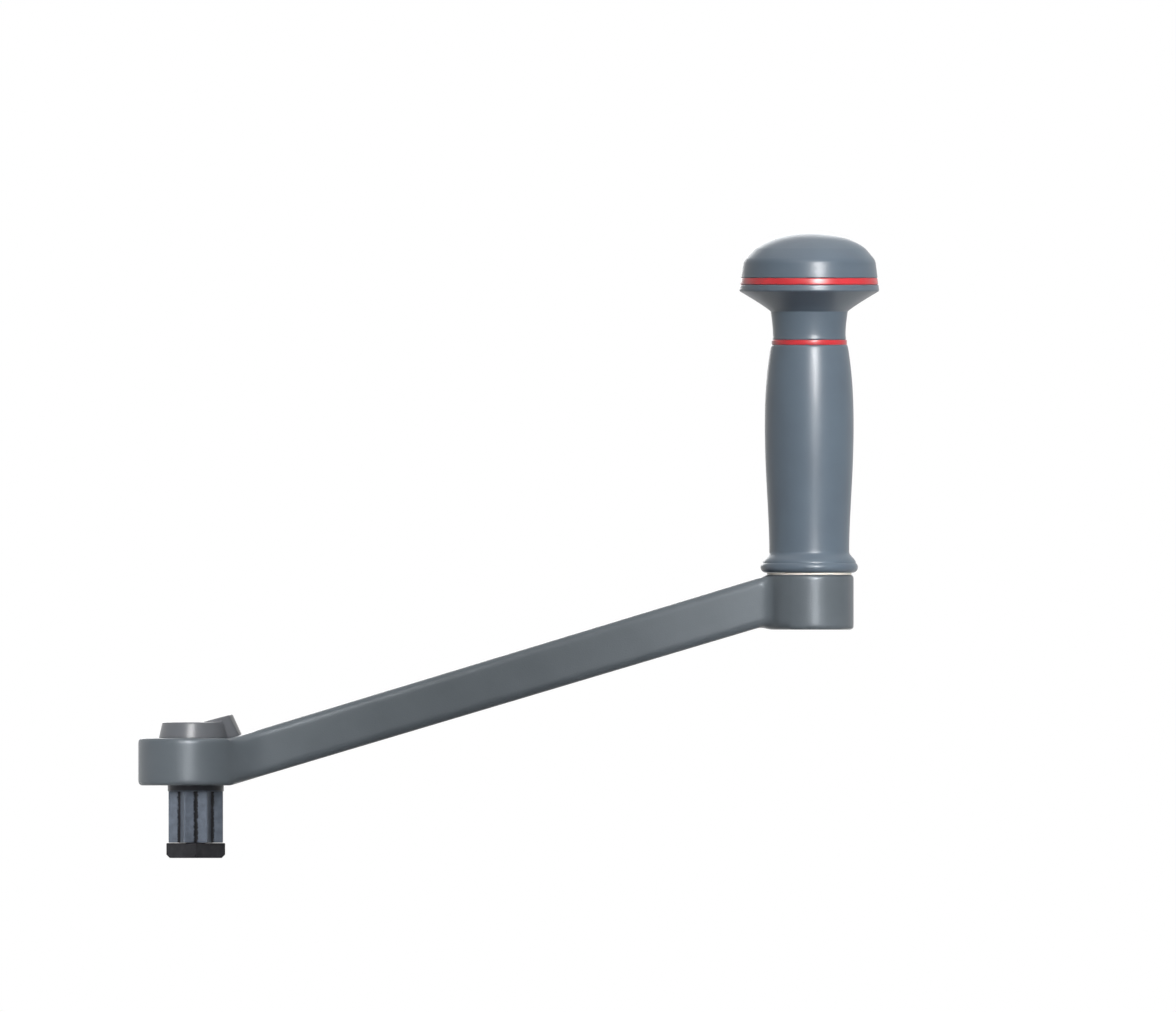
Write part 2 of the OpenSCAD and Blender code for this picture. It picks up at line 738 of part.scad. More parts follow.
module lock_lever() {
    color("darkslategray")
        difference() {
            union() {
                translate([0, 0, lever_low])
                    cylinder(r1 = lever_foot_r, r2 = lever_top_r, h = lever_top - lever_low);
                thumb_lug();
                // Boss that turns on the bush, and the tab that stops in the arc pocket
                translate([0, 0, spindle_foot])
                    cylinder(r = lever_boss_r, h = lever_low - spindle_foot + cut);
                ring_part(
                    tab_out_r, tab_in_r,
                    tab_angle - tab_half, tab_angle + tab_half,
                    tab_low, lever_low - tab_low + cut
                );
            }
            translate([0, 0, spindle_foot - cut])
                cylinder(r = spindle_r + tenon_gap, h = shoulder_h + cut);
            square_bar(tenon + 2 * tenon_gap, spindle_shoulder - cut, lever_h + lug_h);
            translate([0, 0, lever_seat]) cylinder(r = lever_washer_r + screw_gap, h = lug_h);
            rotate([0, 0, leg_angle + 360 * coil_turns])
                translate([coil_r, 0, lever_low - cut])
                    cylinder(r = wire_d / 2 + screw_gap, h = leg_hole_depth + cut);
        }
}

module lever_washer() {
    color("gainsboro")
        tube(lever_washer_r, small_screw_r + screw_gap / 2, lever_seat, lever_washer_h);
}

module lever_screw() {
    head_low = lever_seat + lever_washer_h;
    color("silver")
        difference() {
            union() {
                translate([0, 0, head_low]) cylinder(r = lever_head_r, h = lever_head_h);
                translate([0, 0, head_low - small_tap_depth + 1])
                    cylinder(r = small_screw_r - press_gap, h = small_tap_depth);
            }
            hexagon(small_hex_af, head_low + lever_head_h - small_hex_depth, lever_head_h);
        }
}

module on_grip_axis() {
    translate([throw_len, 0, 0]) children();
}

module grip_post() {
    color("silver")
        on_grip_axis()
            difference() {
                union() {
                    translate([0, 0, tail_low]) cylinder(r = tail_r, h = boss_top - tail_low);
                    translate([0, 0, boss_top]) {
                        cylinder(r = flange_r, h = flange_h);
                        cylinder(r = lower_inner_r - 0.3, h = race_low - boss_top);
                        cylinder(r = lower_bore_r - press_gap, h = journal_step - boss_top);
                        cylinder(r = upper_bore_r - press_gap, h = post_top - boss_top);
                    }
                }
                translate([0, 0, tail_low - cut]) cylinder(r = large_screw_r, h = large_tap_depth + cut);
                translate([0, 0, post_top - end_tap_depth])
                    cylinder(r = end_screw_r, h = end_tap_depth + cut);
            }
}

module post_washer() {
    color("silver")
        on_grip_axis()
            tube(
                large_washer_r, large_screw_r + screw_gap,
                recess_roof - large_washer_h, large_washer_h
            );
}

module post_screw() {
    head_top = recess_roof - large_washer_h;
    head_low = head_top - large_head_h;
    color("silver")
        on_grip_axis()
            difference() {
                union() {
                    rounded_disc(large_head_r, head_low, large_head_h, large_head_round);
                    translate([0, 0, head_top - cut])
                        cylinder(r = large_screw_r - press_gap, h = large_screw_len + cut);
                }
                hexagon(large_hex_af, head_low - cut, large_hex_depth + cut);
            }
}

module thrust_washer() {
    color("whitesmoke") on_grip_axis() tube(thrust_out_r, thrust_in_r, boss_top, grip_gap - run_gap);
}

// The two rings of a bearing share one groove, a ring of round section on the pitch circle.
module race(r_out, r_in, pitch_r, z) {
    on_grip_axis()
        difference() {
            tube(r_out, r_in, z, bearing_w);
            translate([0, 0, z + bearing_w / 2])
                rotate_extrude() translate([pitch_r, 0]) circle(r = ball_r + race_groove_gap);
        }
}

module ball_ring(pitch_r, z) {
    count = ball_count(pitch_r);
    on_grip_axis()
        for (i = [0:count - 1])
            rotate([0, 0, 360 * i / count])
                translate([pitch_r, 0, z + bearing_w / 2]) sphere(r = ball_r);
}

module ball_cage(pitch_r, z) {
    count = ball_count(pitch_r);
    on_grip_axis()
        difference() {
            tube(pitch_r + cage_half, pitch_r - cage_half, z + (bearing_w - cage_h) / 2, cage_h);
            // The pockets are drilled in from the side, one for each ball.
            for (i = [0:count - 1])
                rotate([0, 0, 360 * i / count])
                    translate([pitch_r - cage_half - cut, 0, z + bearing_w / 2])
                        rotate([0, 90, 0])
                            cylinder(r = ball_r + pocket_gap, h = 2 * (cage_half + cut));
        }
}

module lower_inner_race() {
    color("lightgray") race(lower_inner_r, lower_bore_r, lower_pitch_r, race_low);
}

module lower_outer_race() {
    color("lightgray") race(lower_outer_r, lower_pitch_r + race_half, lower_pitch_r, race_low);
}

module lower_ball_cage() {
    color("goldenrod") ball_cage(lower_pitch_r, race_low);
}

module lower_balls() {
    color("white") ball_ring(lower_pitch_r, race_low);
}

module race_spacer() {
    color("gainsboro")
        on_grip_axis()
            tube(spacer_r, lower_bore_r + screw_gap / 2, race_top, upper_race_low - race_top);
}

module upper_inner_race() {
    color("lightgray") race(upper_inner_r, upper_bore_r, upper_pitch_r, upper_race_low);
}

module upper_outer_race() {
    color("lightgray") race(upper_outer_r, upper_pitch_r + race_half, upper_pitch_r, upper_race_low);
}

module upper_ball_cage() {
    color("goldenrod") ball_cage(upper_pitch_r, upper_race_low);
}

module upper_balls() {
    color("white") ball_ring(upper_pitch_r, upper_race_low);
}

module post_end_washer() {
    color("silver")
        on_grip_axis() tube(end_washer_r, end_screw_r + screw_gap / 2, upper_race_top, end_washer_h);
}

module post_end_screw() {
    head_low = upper_race_top + end_washer_h;
    color("silver")
        on_grip_axis()
            difference() {
                union() {
                    rounded_disc(end_head_r, head_low, end_head_h, end_head_round);
                    translate([0, 0, head_low - end_screw_len])
                        cylinder(r = end_screw_r - press_gap, h = end_screw_len + cut);
                }
                hexagon(end_hex_af, head_low + end_head_h - end_hex_depth, end_head_h);
            }
}

// Holes for the three screws that hold the knob's base to the sleeve
module knob_screw_holes(r, z, h) {
    for (a = knob_screw_angles)
        rotate([0, 0, a]) translate([screw_circle_r, 0, z]) cylinder(r = r, h = h);
}

module grip_sleeve() {
    screw_low = bowl_floor - knob_screw_len;
    color("slategray")
        on_grip_axis()
            difference() {
                rotate_extrude()
                    polygon(concat([[0, foot_z]], grip_outline(), [[0, neck_ring_z]]));
                translate([0, 0, foot_z - cut]) {
                    cylinder(r = lower_outer_r + press_gap, h = race_top - foot_z + cut);
                    cylinder(r = sleeve_bore_r, h = sleeve_len + 2 * cut);
                }
                translate([0, 0, upper_race_low])
                    cylinder(r = upper_outer_r + press_gap, h = neck_ring_z - upper_race_low + cut);
                knob_screw_holes(
                    knob_screw_r + press_gap, screw_low - cut, neck_ring_z - screw_low + 2 * cut
                );
            }
}

module neck_ring() {
    color("crimson")
        on_grip_axis()
            difference() {
                tube(neck_ring_r, upper_outer_r + press_gap, neck_ring_z, neck_ring_h);
                knob_screw_holes(knob_screw_r + screw_gap, neck_ring_z - cut, neck_ring_h + 2 * cut);
            }
}

module knob_base() {
    spigot_low = upper_race_top + press_gap;
    bowl_r = skirt_r - skirt_ledge;
    skirt_seat = ring_low - skirt_depth;
    color("slategray")
        on_grip_axis()
            difference() {
                union() {
                    rotate_extrude()
                        polygon(concat([[0, neck_low]], knob_base_outline(), [[0, ring_low]]));
                    translate([0, 0, spigot_low])
                        cylinder(r = upper_outer_r, h = neck_low - spigot_low + cut);
                }
                // Room for the post's end, and the bowl that the cap closes
                translate([0, 0, spigot_low - cut])
                    cylinder(r = spigot_bore_r, h = bowl_floor - spigot_low - cap_wall + cut);
                rotate_extrude()
                    polygon([
                        [0, bowl_floor],
                        [bowl_floor_r, bowl_floor],
                        [bowl_r, skirt_seat - ledge_h],
                        [bowl_r, skirt_seat],
                        [skirt_r + press_gap, skirt_seat],
                        [skirt_r + press_gap, ring_low + cut],
                        [0, ring_low + cut]
                    ]);
                knob_screw_holes(knob_screw_r + screw_gap, neck_low - cut, bowl_floor - neck_low + 2 * cut);
            }
}

module knob_screws() {
    color("silver")
        on_grip_axis()
            for (a = knob_screw_angles)
                rotate([0, 0, a])
                    translate([screw_circle_r, 0, bowl_floor])
                        difference() {
                            union() {
                                cylinder(r = knob_head_r, h = knob_head_h);
                                translate([0, 0, -knob_screw_len])
                                    cylinder(r = knob_screw_r, h = knob_screw_len + cut);
                            }
                            hexagon(knob_hex_af, knob_head_h - knob_hex_depth, knob_head_h);
                        }
}

module knob_ring() {
    color("crimson")
        on_grip_axis()
            rotate_extrude()
                polygon([
                    [skirt_r + press_gap, ring_low],
                    [side_r(ring_low) - ring_sink, ring_low],
                    [side_r(ring_high) - ring_sink, ring_high],
                    [skirt_r + press_gap, ring_high]
                ]);
}

module knob_cap() {
    inner = dome(cap_wall, 10);
    skirt_seat = ring_low - skirt_depth;
    color("slategray")
        on_grip_axis()
            rotate_extrude()
                polygon(concat(
                    [[skirt_r, skirt_seat], [skirt_r, ring_high], [side_r(ring_high), ring_high]],
                    dome(0, 16),
                    [for (i = [10:-1:1]) inner[i]],
                    [[skirt_r - skirt_wall, inner[1][1] - 1], [skirt_r - skirt_wall, skirt_seat]]
                ));
}

arm();
star_drive();
stud_circlip();
lower_bush();
upper_bush();
lock_spindle();
spindle_o_ring();
lock_plate();
plate_screw();
lock_spring();
lock_lever();
lever_washer();
lever_screw();
grip_post();
post_washer();
post_screw();
thrust_washer();
lower_inner_race();
lower_outer_race();
lower_ball_cage();
lower_balls();
race_spacer();
upper_inner_race();
upper_outer_race();
upper_ball_cage();
upper_balls();
post_end_washer();
post_end_screw();
grip_sleeve();
neck_ring();
knob_base();
knob_screws();
knob_ring();
knob_cap();
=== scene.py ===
import math

import bmesh
import bpy
from mathutils import Matrix, Vector


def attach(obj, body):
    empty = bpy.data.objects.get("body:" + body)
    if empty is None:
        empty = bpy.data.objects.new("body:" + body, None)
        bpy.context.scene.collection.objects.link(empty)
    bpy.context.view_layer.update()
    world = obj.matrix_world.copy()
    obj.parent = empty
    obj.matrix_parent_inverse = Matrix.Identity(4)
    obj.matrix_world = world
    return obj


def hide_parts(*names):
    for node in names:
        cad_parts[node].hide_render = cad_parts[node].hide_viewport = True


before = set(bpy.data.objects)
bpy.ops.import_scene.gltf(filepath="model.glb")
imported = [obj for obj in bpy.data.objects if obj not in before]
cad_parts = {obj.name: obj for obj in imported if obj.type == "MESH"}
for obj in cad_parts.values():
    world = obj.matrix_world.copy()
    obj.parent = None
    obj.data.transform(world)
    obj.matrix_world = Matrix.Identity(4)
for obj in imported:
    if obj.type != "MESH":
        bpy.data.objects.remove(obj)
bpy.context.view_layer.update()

for leftover in ("Cube", "Light", "Camera"):
    if leftover in bpy.data.objects:
        bpy.data.objects.remove(bpy.data.objects[leftover])

# Sizes of the crank handle
# They are in millimetres, as in the part's source, and MM turns them into Blender's metres.
# X runs from the star's axis along the arm, and Z rises from the hub's underside.
# R is a radius, W a width, H a height, AF a width across flats, and LOW, TOP and Z are heights.
MM = 0.001
DRIVE_X = 0.0            # the star's axis
GRIP_X = 254.0           # the axis that the grip turns about

HUB_R, HUB_H, HUB_RIM = 23.8, 19.6, 1.2
BOSS_R, BOSS_LOW, BOSS_TOP, BOSS_RIM = 18.4, 64.5, 87.3, 1.1
BAR_HUB_W, BAR_BOSS_W, BAR_ROUND = 28.0, 19.0, 3.0
BEND_X, BAR_END_X, BAR_END_LOW = 14.2, 237.3, 66.5
ROOT_ROUND = 24.0        # fillet between the hub and the bar's sides, seen from above
ROOT_END_X = 32.0        # from here on the bar's sides are straight
HUB_TRIM = 0.05          # how far the hub's cut-away underside lies below the bar's
ARM_VOXEL = 0.75
HUB_BLEND, BOSS_BLEND = 4.5, 4.0   # how far the forging's blends reach from each crease
BLEND_HALF_W, BLEND_END = 19, 8    # the blends stay this near the bar, seen from above
SEAT_BAND = 0.4          # the flat faces for the socket and the grip stay sharp this far

HUB_FLOOR, RECESS_R = 11.4, 11.0
POCKET_R, POCKET_FLOOR = 14.7, 14.4
POCKET_START, POCKET_END = 165.5, 217   # degrees
LEG_SLOT_HALF, LEG_SLOT_START, LEG_SLOT_FLOOR = 0.9, 2, 12.6   # takes the spring's lower leg
SEAT_R, SEAT_Z = 19.8, 19.2   # shallow seat in the hub's top that the lever turns in
TAIL_BORE_R, POST_RECESS_R, POST_LEAD, POST_ROOF = 7.01, 9.0, 0.5, 74.5

STAR_AF, STAR_TIP_R, STAR_TURN = 17.46, 12.096, 22.5
STAR_END, COLLAR_LOW, COLLAR_SEAT = -23.7, -2.5, 3.0
COLLAR_R, COLLAR_GAP, COLLAR_LEAD = 11.615, 0.05, 0.4
HEX_AF, HEX_GAP = 17.0, 0.02
EASE, EASE_MID = 0.3, 0.09    # eased edge of the star and its collar, and the middle of its curve
NECK_R, NECK_TOP = 8.2, 13.8
GROOVE_R, GROOVE_H = 7.5, 1.25     # circlip groove
BUSH_R, BUSH_LONG = 5.51, 8.0
STUD_BORE_R, FLANGE_R, FLANGE_SINK = 4.5, 7.05, 0.9

PLATE_SIDE, PLATE_LOW, PLATE_TOP = 17.2, -30.05, -23.85
PLATE_CHAMFER, PLATE_EDGE = 1.4, 0.25
TENON_AF, TENON_GAP, TENON_DEEP = 5.6, 0.05, 3.63
SCREW_SINK_R, SCREW_HOLE_R = 3.95, 2.2

LEVER_LOW, LEVER_TOP = 19.5, 26.2
LEVER_FOOT_R, LEVER_TOP_R = 15.3, 13.8
LEVER_TRIM = 0.02        # the lever's underside is cut flat this far above LEVER_LOW
LEVER_VOXEL = 0.32
LUG_REACH, LUG_TIP_X, LUG_TOP = 19.5, 15.2, 29.6
LUG_START, LUG_FOOT = 2.5, 0.6
LUG_W, LUG_SPREAD = 13.0, 1.5      # its width at its end, and how much wider it is on the axis
LEVER_BOSS_R, LEVER_BOSS_LOW = 8.0, 14.65
TAB_IN_R, TAB_OUT_R, TAB_LOW = 11.6, 14.3, 15.0
TAB_START, TAB_END = 166, 194      # degrees
SHOULDER_R, SHOULDER_TOP = 4.03, 16.05
TOP_TENON_AF, TOP_TENON_GAP = 5.5968, 0.03
HEAD_SEAT_Z, HEAD_SEAT_R, HEAD_LEAD = 23.5, 5.2, 0.4

FOOT_Z, NECK_RING_Z = 88.1, 182.4
WAIST_R, BELLY_R, SLEEVE_TOP_R, BEAD_R = 16.55, 18.4, 15.9, 20.15
BEAD_ROUND, BEAD_START, BEAD_END = 2.25, -90, 50   # the bead's arc is in degrees
FLARE_TOP, BELLY_Z = 96.8, 149.0
BELLY_RISE, TOP_FALL = 0.9, 2.3    # powers that shape the sleeve below and above its belly
BEARING_LOW_R, BEARING_UP_R, SLEEVE_BORE_R = 12.01, 11.01, 10.2
BEARING_LEAD = 0.4
LOWER_RACE_TOP, UPPER_RACE_LOW, UPPER_RACE_TOP = 96.0, 168.0, 174.0
RING_ROUND = 0.3         # rounds of the neck ring, and how far the ring and sleeve step in
KNOB_SCREW_ANGLES, KNOB_SCREW_CIRCLE_R = (90, 210, 330), 12.9
KNOB_SCREW_TAP_R, KNOB_SCREW_HOLE_R = 1.11, 1.3

NECK_LOW, CONE_LOW, WIDE_Z = 184.5, 196.2, 204.7
NECK_DIP = 0.2           # where the neck is narrowest, as a share of its height
NECK_R_MIN, NECK_FOOT_R, CONE_LOW_R = 15.05, 15.3, 15.95
NECK_FLARE, CONE_FLARE = 1.6, 1.12   # powers that shape the neck and the cone
KNOB_R, SIDE_TAPER, WIDE_ROUND = 29.0, 1.6, 1.3
RING_LOW, RING_HIGH, CORNER_Z, KNOB_TOP = 207.3, 210.1, 217.4, 229.2
RING_SINK, RING_EDGE, SKIRT_EDGE = 0.1, 0.45, 0.4
KNOB_WALL, PRESS_GAP = 3.5, 0.01
SKIRT_DEPTH, SKIRT_LEDGE, SKIRT_WALL, LEDGE_H = 1.4, 1.7, 2.4, 0.9
BOWL_FLOOR_R, BOWL_FLOOR = 15.5, CONE_LOW + 2.3
SPIGOT_R, SPIGOT_BORE_R, SPIGOT_ROOF = 11.0, 9.6, CONE_LOW - 0.7
CORNER_ROUND, DOME_SPREAD, CAP_WALL = 5.0, 1.045, 3

ROUND_STEPS, GRIP_STEPS, DRILL_STEPS = 144, 160, 32   # facets of the turned shapes
WELD = 2e-6              # metres: points closer than this are one, so that no face has no area
SHARP_DEG = 32           # edges that turn more than this stay sharp
ON_AXIS = 1e-6           # a smaller radius is a point on the axis
NEARLY_STRAIGHT = 89     # half the angle of a corner that isn't worth a round, in degrees

# A node's sockets that share a name go by number: these are a colour mix's.
FACTOR, TONE_A, TONE_B, MIXED = 0, 6, 7, 2


# Small tools
def linear(code):
    """sRGB hex to the linear colour that a shader takes."""
    parts = [int(code[i:i + 2], 16) / 255 for i in (1, 3, 5)]
    return [c / 12.92 if c <= 0.04045 else ((c + 0.055) / 1.055) ** 2.4 for c in parts] + [1.0]


def add(tree, kind, sockets=None, **settings):
    """Adds one node, sets it up, and links or fills its sockets, by name or by number."""
    made = tree.nodes.new(kind)
    for name, value in settings.items():
        setattr(made, name, value)
    for name, value in (sockets or {}).items():
        if isinstance(value, bpy.types.NodeSocket):
            tree.links.new(value, made.inputs[name])
        else:
            made.inputs[name].default_value = value
    return made


def on_circle(radius, degrees):
    """A point at an angle round an upright axis."""
    return radius * math.cos(math.radians(degrees)), radius * math.sin(math.radians(degrees))


def soft_corners(points, closed=True, steps=4):
    """Rounds the corners of an outline. Each point is (x, y) or (x, y, radius)."""
    out = []
    count = len(points)
    for i, p in enumerate(points):
        radius = p[2] if len(p) > 2 else 0
        if radius == 0 or (not closed and i in (0, count - 1)):
            out.append((p[0], p[1]))
            continue
        here = Vector(p[:2])
        to_a = Vector(points[i - 1][:2]) - here
        to_b = Vector(points[(i + 1) % count][:2]) - here
        # A round takes a little less than half of the shorter side.
        reach = min(to_a.length, to_b.length) * 0.49
        to_a.normalize()
        to_b.normalize()
        half = to_a.angle(to_b, math.pi) / 2
        if half > math.radians(NEARLY_STRAIGHT):
            out.append((p[0], p[1]))
            continue
        back = min(radius / math.tan(half), reach)
        radius = back * math.tan(half)
        centre = here + (to_a + to_b).normalized() * (radius / math.sin(half))
        start = here + to_a * back - centre
        end = here + to_b * back - centre
        turn = start.angle_signed(end)
        for k in range(steps + 1):
            spoke = Matrix.Rotation(-turn * k / steps, 2) @ start
            out.append(tuple(centre + spoke))
    return out


def lathe(profile, axis_x, steps=ROUND_STEPS, extra=()):
    """Turns a closed (radius, height) outline about an upright axis. A radius may be a function of
    the angle in degrees, for a star, hexagon or square, whose corners are then given in extra."""
    angles = sorted({360 * k / steps for k in range(steps)} | set(extra))
    form = bmesh.new()
    rings = []
    for radius, z in profile:
        if not callable(radius) and radius < ON_AXIS:
            rings.append([form.verts.new((axis_x * MM, 0, z * MM))])
            continue
        ring = []
        for a in angles:
            x, y = on_circle(radius(a) if callable(radius) else radius, a)
            ring.append(form.verts.new(((axis_x + x) * MM, y * MM, z * MM)))
        rings.append(ring)
    for a, b in zip(rings, rings[1:] + rings[:1]):
        if len(a) == 1 and len(b) == 1:
            continue
        for k in range(len(angles)):
            n = (k + 1) % len(angles)
            corners = [a[k % len(a)], a[n % len(a)], b[n % len(b)], b[k % len(b)]]
            form.faces.new(list(dict.fromkeys(corners)))
    bmesh.ops.recalc_face_normals(form, faces=form.faces)
    return form


def cylinder(axis_x, radius, low, high, steps=ROUND_STEPS):
    return lathe([(0, low), (radius, low), (radius, high), (0, high)], axis_x, steps)


def disc(axis_x, radius, low, high, rim):
    """A cylinder with rounded rims."""
    outline = [(0, low), (radius, low, rim), (radius, high, rim), (0, high)]
    return lathe(soft_corners(outline, steps=5), axis_x)


def polygon(across_flats, sides, turn):
    """Radius of a regular polygon by angle, from its width across flats and one flat's angle."""
    step = 360 / sides

    def radius(a):
        off = (a - turn + step / 2) % step - step / 2
        return across_flats / 2 / math.cos(math.radians(off))
    return radius


def prism(outline, low, high):
    """Stands a flat (x, y) outline up between two heights."""
    form = bmesh.new()
    rings = [[form.verts.new((x * MM, y * MM, z * MM)) for x, y in outline] for z in (low, high)]
    for k in range(len(outline)):
        n = (k + 1) % len(outline)
        form.faces.new((rings[0][k], rings[0][n], rings[1][n], rings[1][k]))
    form.faces.new(list(reversed(rings[0])))
    form.faces.new(rings[1])
    bmesh.ops.recalc_face_normals(form, faces=form.faces)
    bmesh.ops.triangulate(form, faces=[f for f in form.faces if len(f.verts) > 4])
    return form


def hexagon(across_flats, low, high):
    reach = across_flats / math.sqrt(3)
    return prism([on_circle(reach, a) for a in range(0, 360, 60)], low, high)


def arc_block(inner, outer, start, end, low, high, steps=24):
    """Part of a thick ring between two angles in degrees."""
    angles = [start + (end - start) * k / steps for k in range(steps + 1)]
    outline = [on_circle(outer, a) for a in angles]
    outline += [on_circle(inner, a) for a in reversed(angles)]
    return prism(outline, low, high)


def loft(sections):
    """Skins closed rings of 3-D points, in millimetres, one after the other, and caps both ends."""
    form = bmesh.new()
    rings = [[form.verts.new(Vector(p) * MM) for p in ring] for ring in sections]
    count = len(rings[0])
    for a, b in zip(rings, rings[1:]):
        for k in range(count):
            n = (k + 1) % count
            form.faces.new((a[k], a[n], b[n], b[k]))
    form.faces.new(rings[0])
    form.faces.new(rings[-1])
    bmesh.ops.recalc_face_normals(form, faces=form.faces)
    return form


def scratch(shape, name="scratch"):
    """A temporary object of a form or a mesh, for a modifier to work on or with."""
    if isinstance(shape, bpy.types.Object):
        return shape
    if isinstance(shape, bmesh.types.BMesh):
        form, shape = shape, bpy.data.meshes.new(name)
        form.to_mesh(shape)
        form.free()
    made = bpy.data.objects.new(name, shape)
    bpy.context.scene.collection.objects.link(made)
    return made


def settle(obj):
    """The mesh of a temporary object with its modifiers applied. The object goes."""
    bpy.context.view_layer.update()
    shown = obj.evaluated_get(bpy.context.evaluated_depsgraph_get())
    data = bpy.data.meshes.new_from_object(shown)
    bpy.data.objects.remove(obj)
    return data


def combine(base, tool, operation="DIFFERENCE", solver="MANIFOLD"):
    """Boolean of two shapes. Both go, and a temporary object comes back."""
    base, tool = scratch(base), scratch(tool)
    step = base.modifiers.new("combine", "BOOLEAN")
    step.operation = operation
    step.solver = solver
    step.object = tool
    data = settle(base)
    bpy.data.objects.remove(tool)
    return scratch(data)


def joined_up(*shapes):
    """Merges shapes into one temporary object that a voxel remesh can fuse."""
    form = bmesh.new()
    for obj in map(scratch, shapes):
        form.from_mesh(obj.data)
        bpy.data.objects.remove(obj)
    return scratch(form)


def fused(obj, voxel_mm):
    """Melts what a temporary object holds into one even skin."""
    step = obj.modifiers.new("fuse", "REMESH")
    step.mode = "VOXEL"
    step.voxel_size = voxel_mm * MM
    return scratch(settle(obj))


def smoothed(obj, *rounds):
    """Smooths a temporary object, in rounds of (repeats, vertex group or "" for all of it)."""
    for repeats, group in rounds:
        step = obj.modifiers.new("smooth", "SMOOTH")
        step.factor = 0.5
        step.iterations = repeats
        step.vertex_group = group
    return scratch(settle(obj))


def to_object(name, shape, body, node, material):
    """Makes a finished shape the piece that stands for a node: welded, smooth, sharp at its edges."""
    data = settle(scratch(shape))
    form = bmesh.new()
    form.from_mesh(data)
    bmesh.ops.remove_doubles(form, verts=form.verts, dist=WELD)
    bmesh.ops.dissolve_degenerate(form, edges=form.edges, dist=WELD)
    form.to_mesh(data)
    form.free()
    data.validate()
    data.materials.clear()
    data.materials.append(material)
    data.shade_smooth()
    data.set_sharp_from_angle(angle=math.radians(SHARP_DEG))
    piece = bpy.data.objects.new(name, data)
    bpy.context.scene.collection.objects.link(piece)
    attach(piece, body)
    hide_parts(node)


# Materials
def finish(name, base, roughness, metallic=0.0, specular=0.5):
    """A new material: its tree, its shader and its object coordinates."""
    made = bpy.data.materials.new(name)
    made.use_nodes = True
    tree = made.node_tree
    shader = next(n for n in tree.nodes if n.type == "BSDF_PRINCIPLED")
    shader.inputs["Base Color"].default_value = linear(base)
    shader.inputs["Roughness"].default_value = roughness
    shader.inputs["Metallic"].default_value = metallic
    shader.inputs["Specular IOR Level"].default_value = specular
    place = add(tree, "ShaderNodeTexCoord").outputs["Object"]
    return made, tree, shader, place


def mottle(tree, place, size_mm, low, high, detail=2.0):
    """Noise with patches of one real size, spread between two values."""
    noise = add(tree, "ShaderNodeTexNoise", {
        "Vector": place, "Scale": 1.0 / (size_mm * MM), "Detail": detail,
    })
    # Nearly all of a noise lies between 0.3 and 0.7.
    return add(tree, "ShaderNodeMapRange", {
        "Value": noise.outputs["Fac"], "From Min": 0.3, "From Max": 0.7, "To Min": low, "To Max": high,
    }).outputs["Result"]


def two_tone(tree, place, size_mm, dark, pale, detail=2.0):
    """Colour that drifts between two close tones in patches of one real size."""
    share = mottle(tree, place, size_mm, 0.0, 1.0, detail)
    mix = add(tree, "ShaderNodeMix", {
        FACTOR: share, TONE_A: linear(dark), TONE_B: linear(pale),
    }, data_type="RGBA")
    return mix.outputs[MIXED]


def dress(tree, shader, colour, height, depth_mm, roughness=None):
    """Gives the shader its colour, its relief of a real depth, and its roughness where that varies."""
    relief = add(tree, "ShaderNodeBump", {"Height": height, "Strength": 1.0, "Distance": depth_mm * MM})
    tree.links.new(colour, shader.inputs["Base Color"])
    tree.links.new(relief.outputs["Normal"], shader.inputs["Normal"])
    if roughness:
        tree.links.new(roughness, shader.inputs["Roughness"])


def direct_view(tree):
    """1 for rays from the eye and from reflections, 0 for bounced light."""
    rays = add(tree, "ShaderNodeLightPath").outputs
    seen = add(tree, "ShaderNodeMath", {
        0: rays["Is Camera Ray"], 1: rays["Is Glossy Ray"],
    }, operation="MAXIMUM")
    return add(tree, "ShaderNodeMath", {
        0: seen.outputs[0], 1: rays["Is Transmission Ray"],
    }, operation="MAXIMUM").outputs[0]


def blasted_anodised_alloy(name, dark, pale):
    """Forged aluminium, bead-blasted and hard anodised: a soft satin grey, only partly metallic."""
    made, tree, shader, place = finish(name, dark, 0.36, 0.18, 0.32)
    colour = two_tone(tree, place, 14.0, dark, pale, 4.0)
    # Blasting leaves dimples of about 0.15 mm. They are drawn 0.6 mm wide so that they show.
    dimples = mottle(tree, place, 0.6, 0.0, 1.0, 3.0)
    dress(tree, shader, colour, dimples, 0.014, mottle(tree, place, 9.0, 0.34, 0.38))
    return made


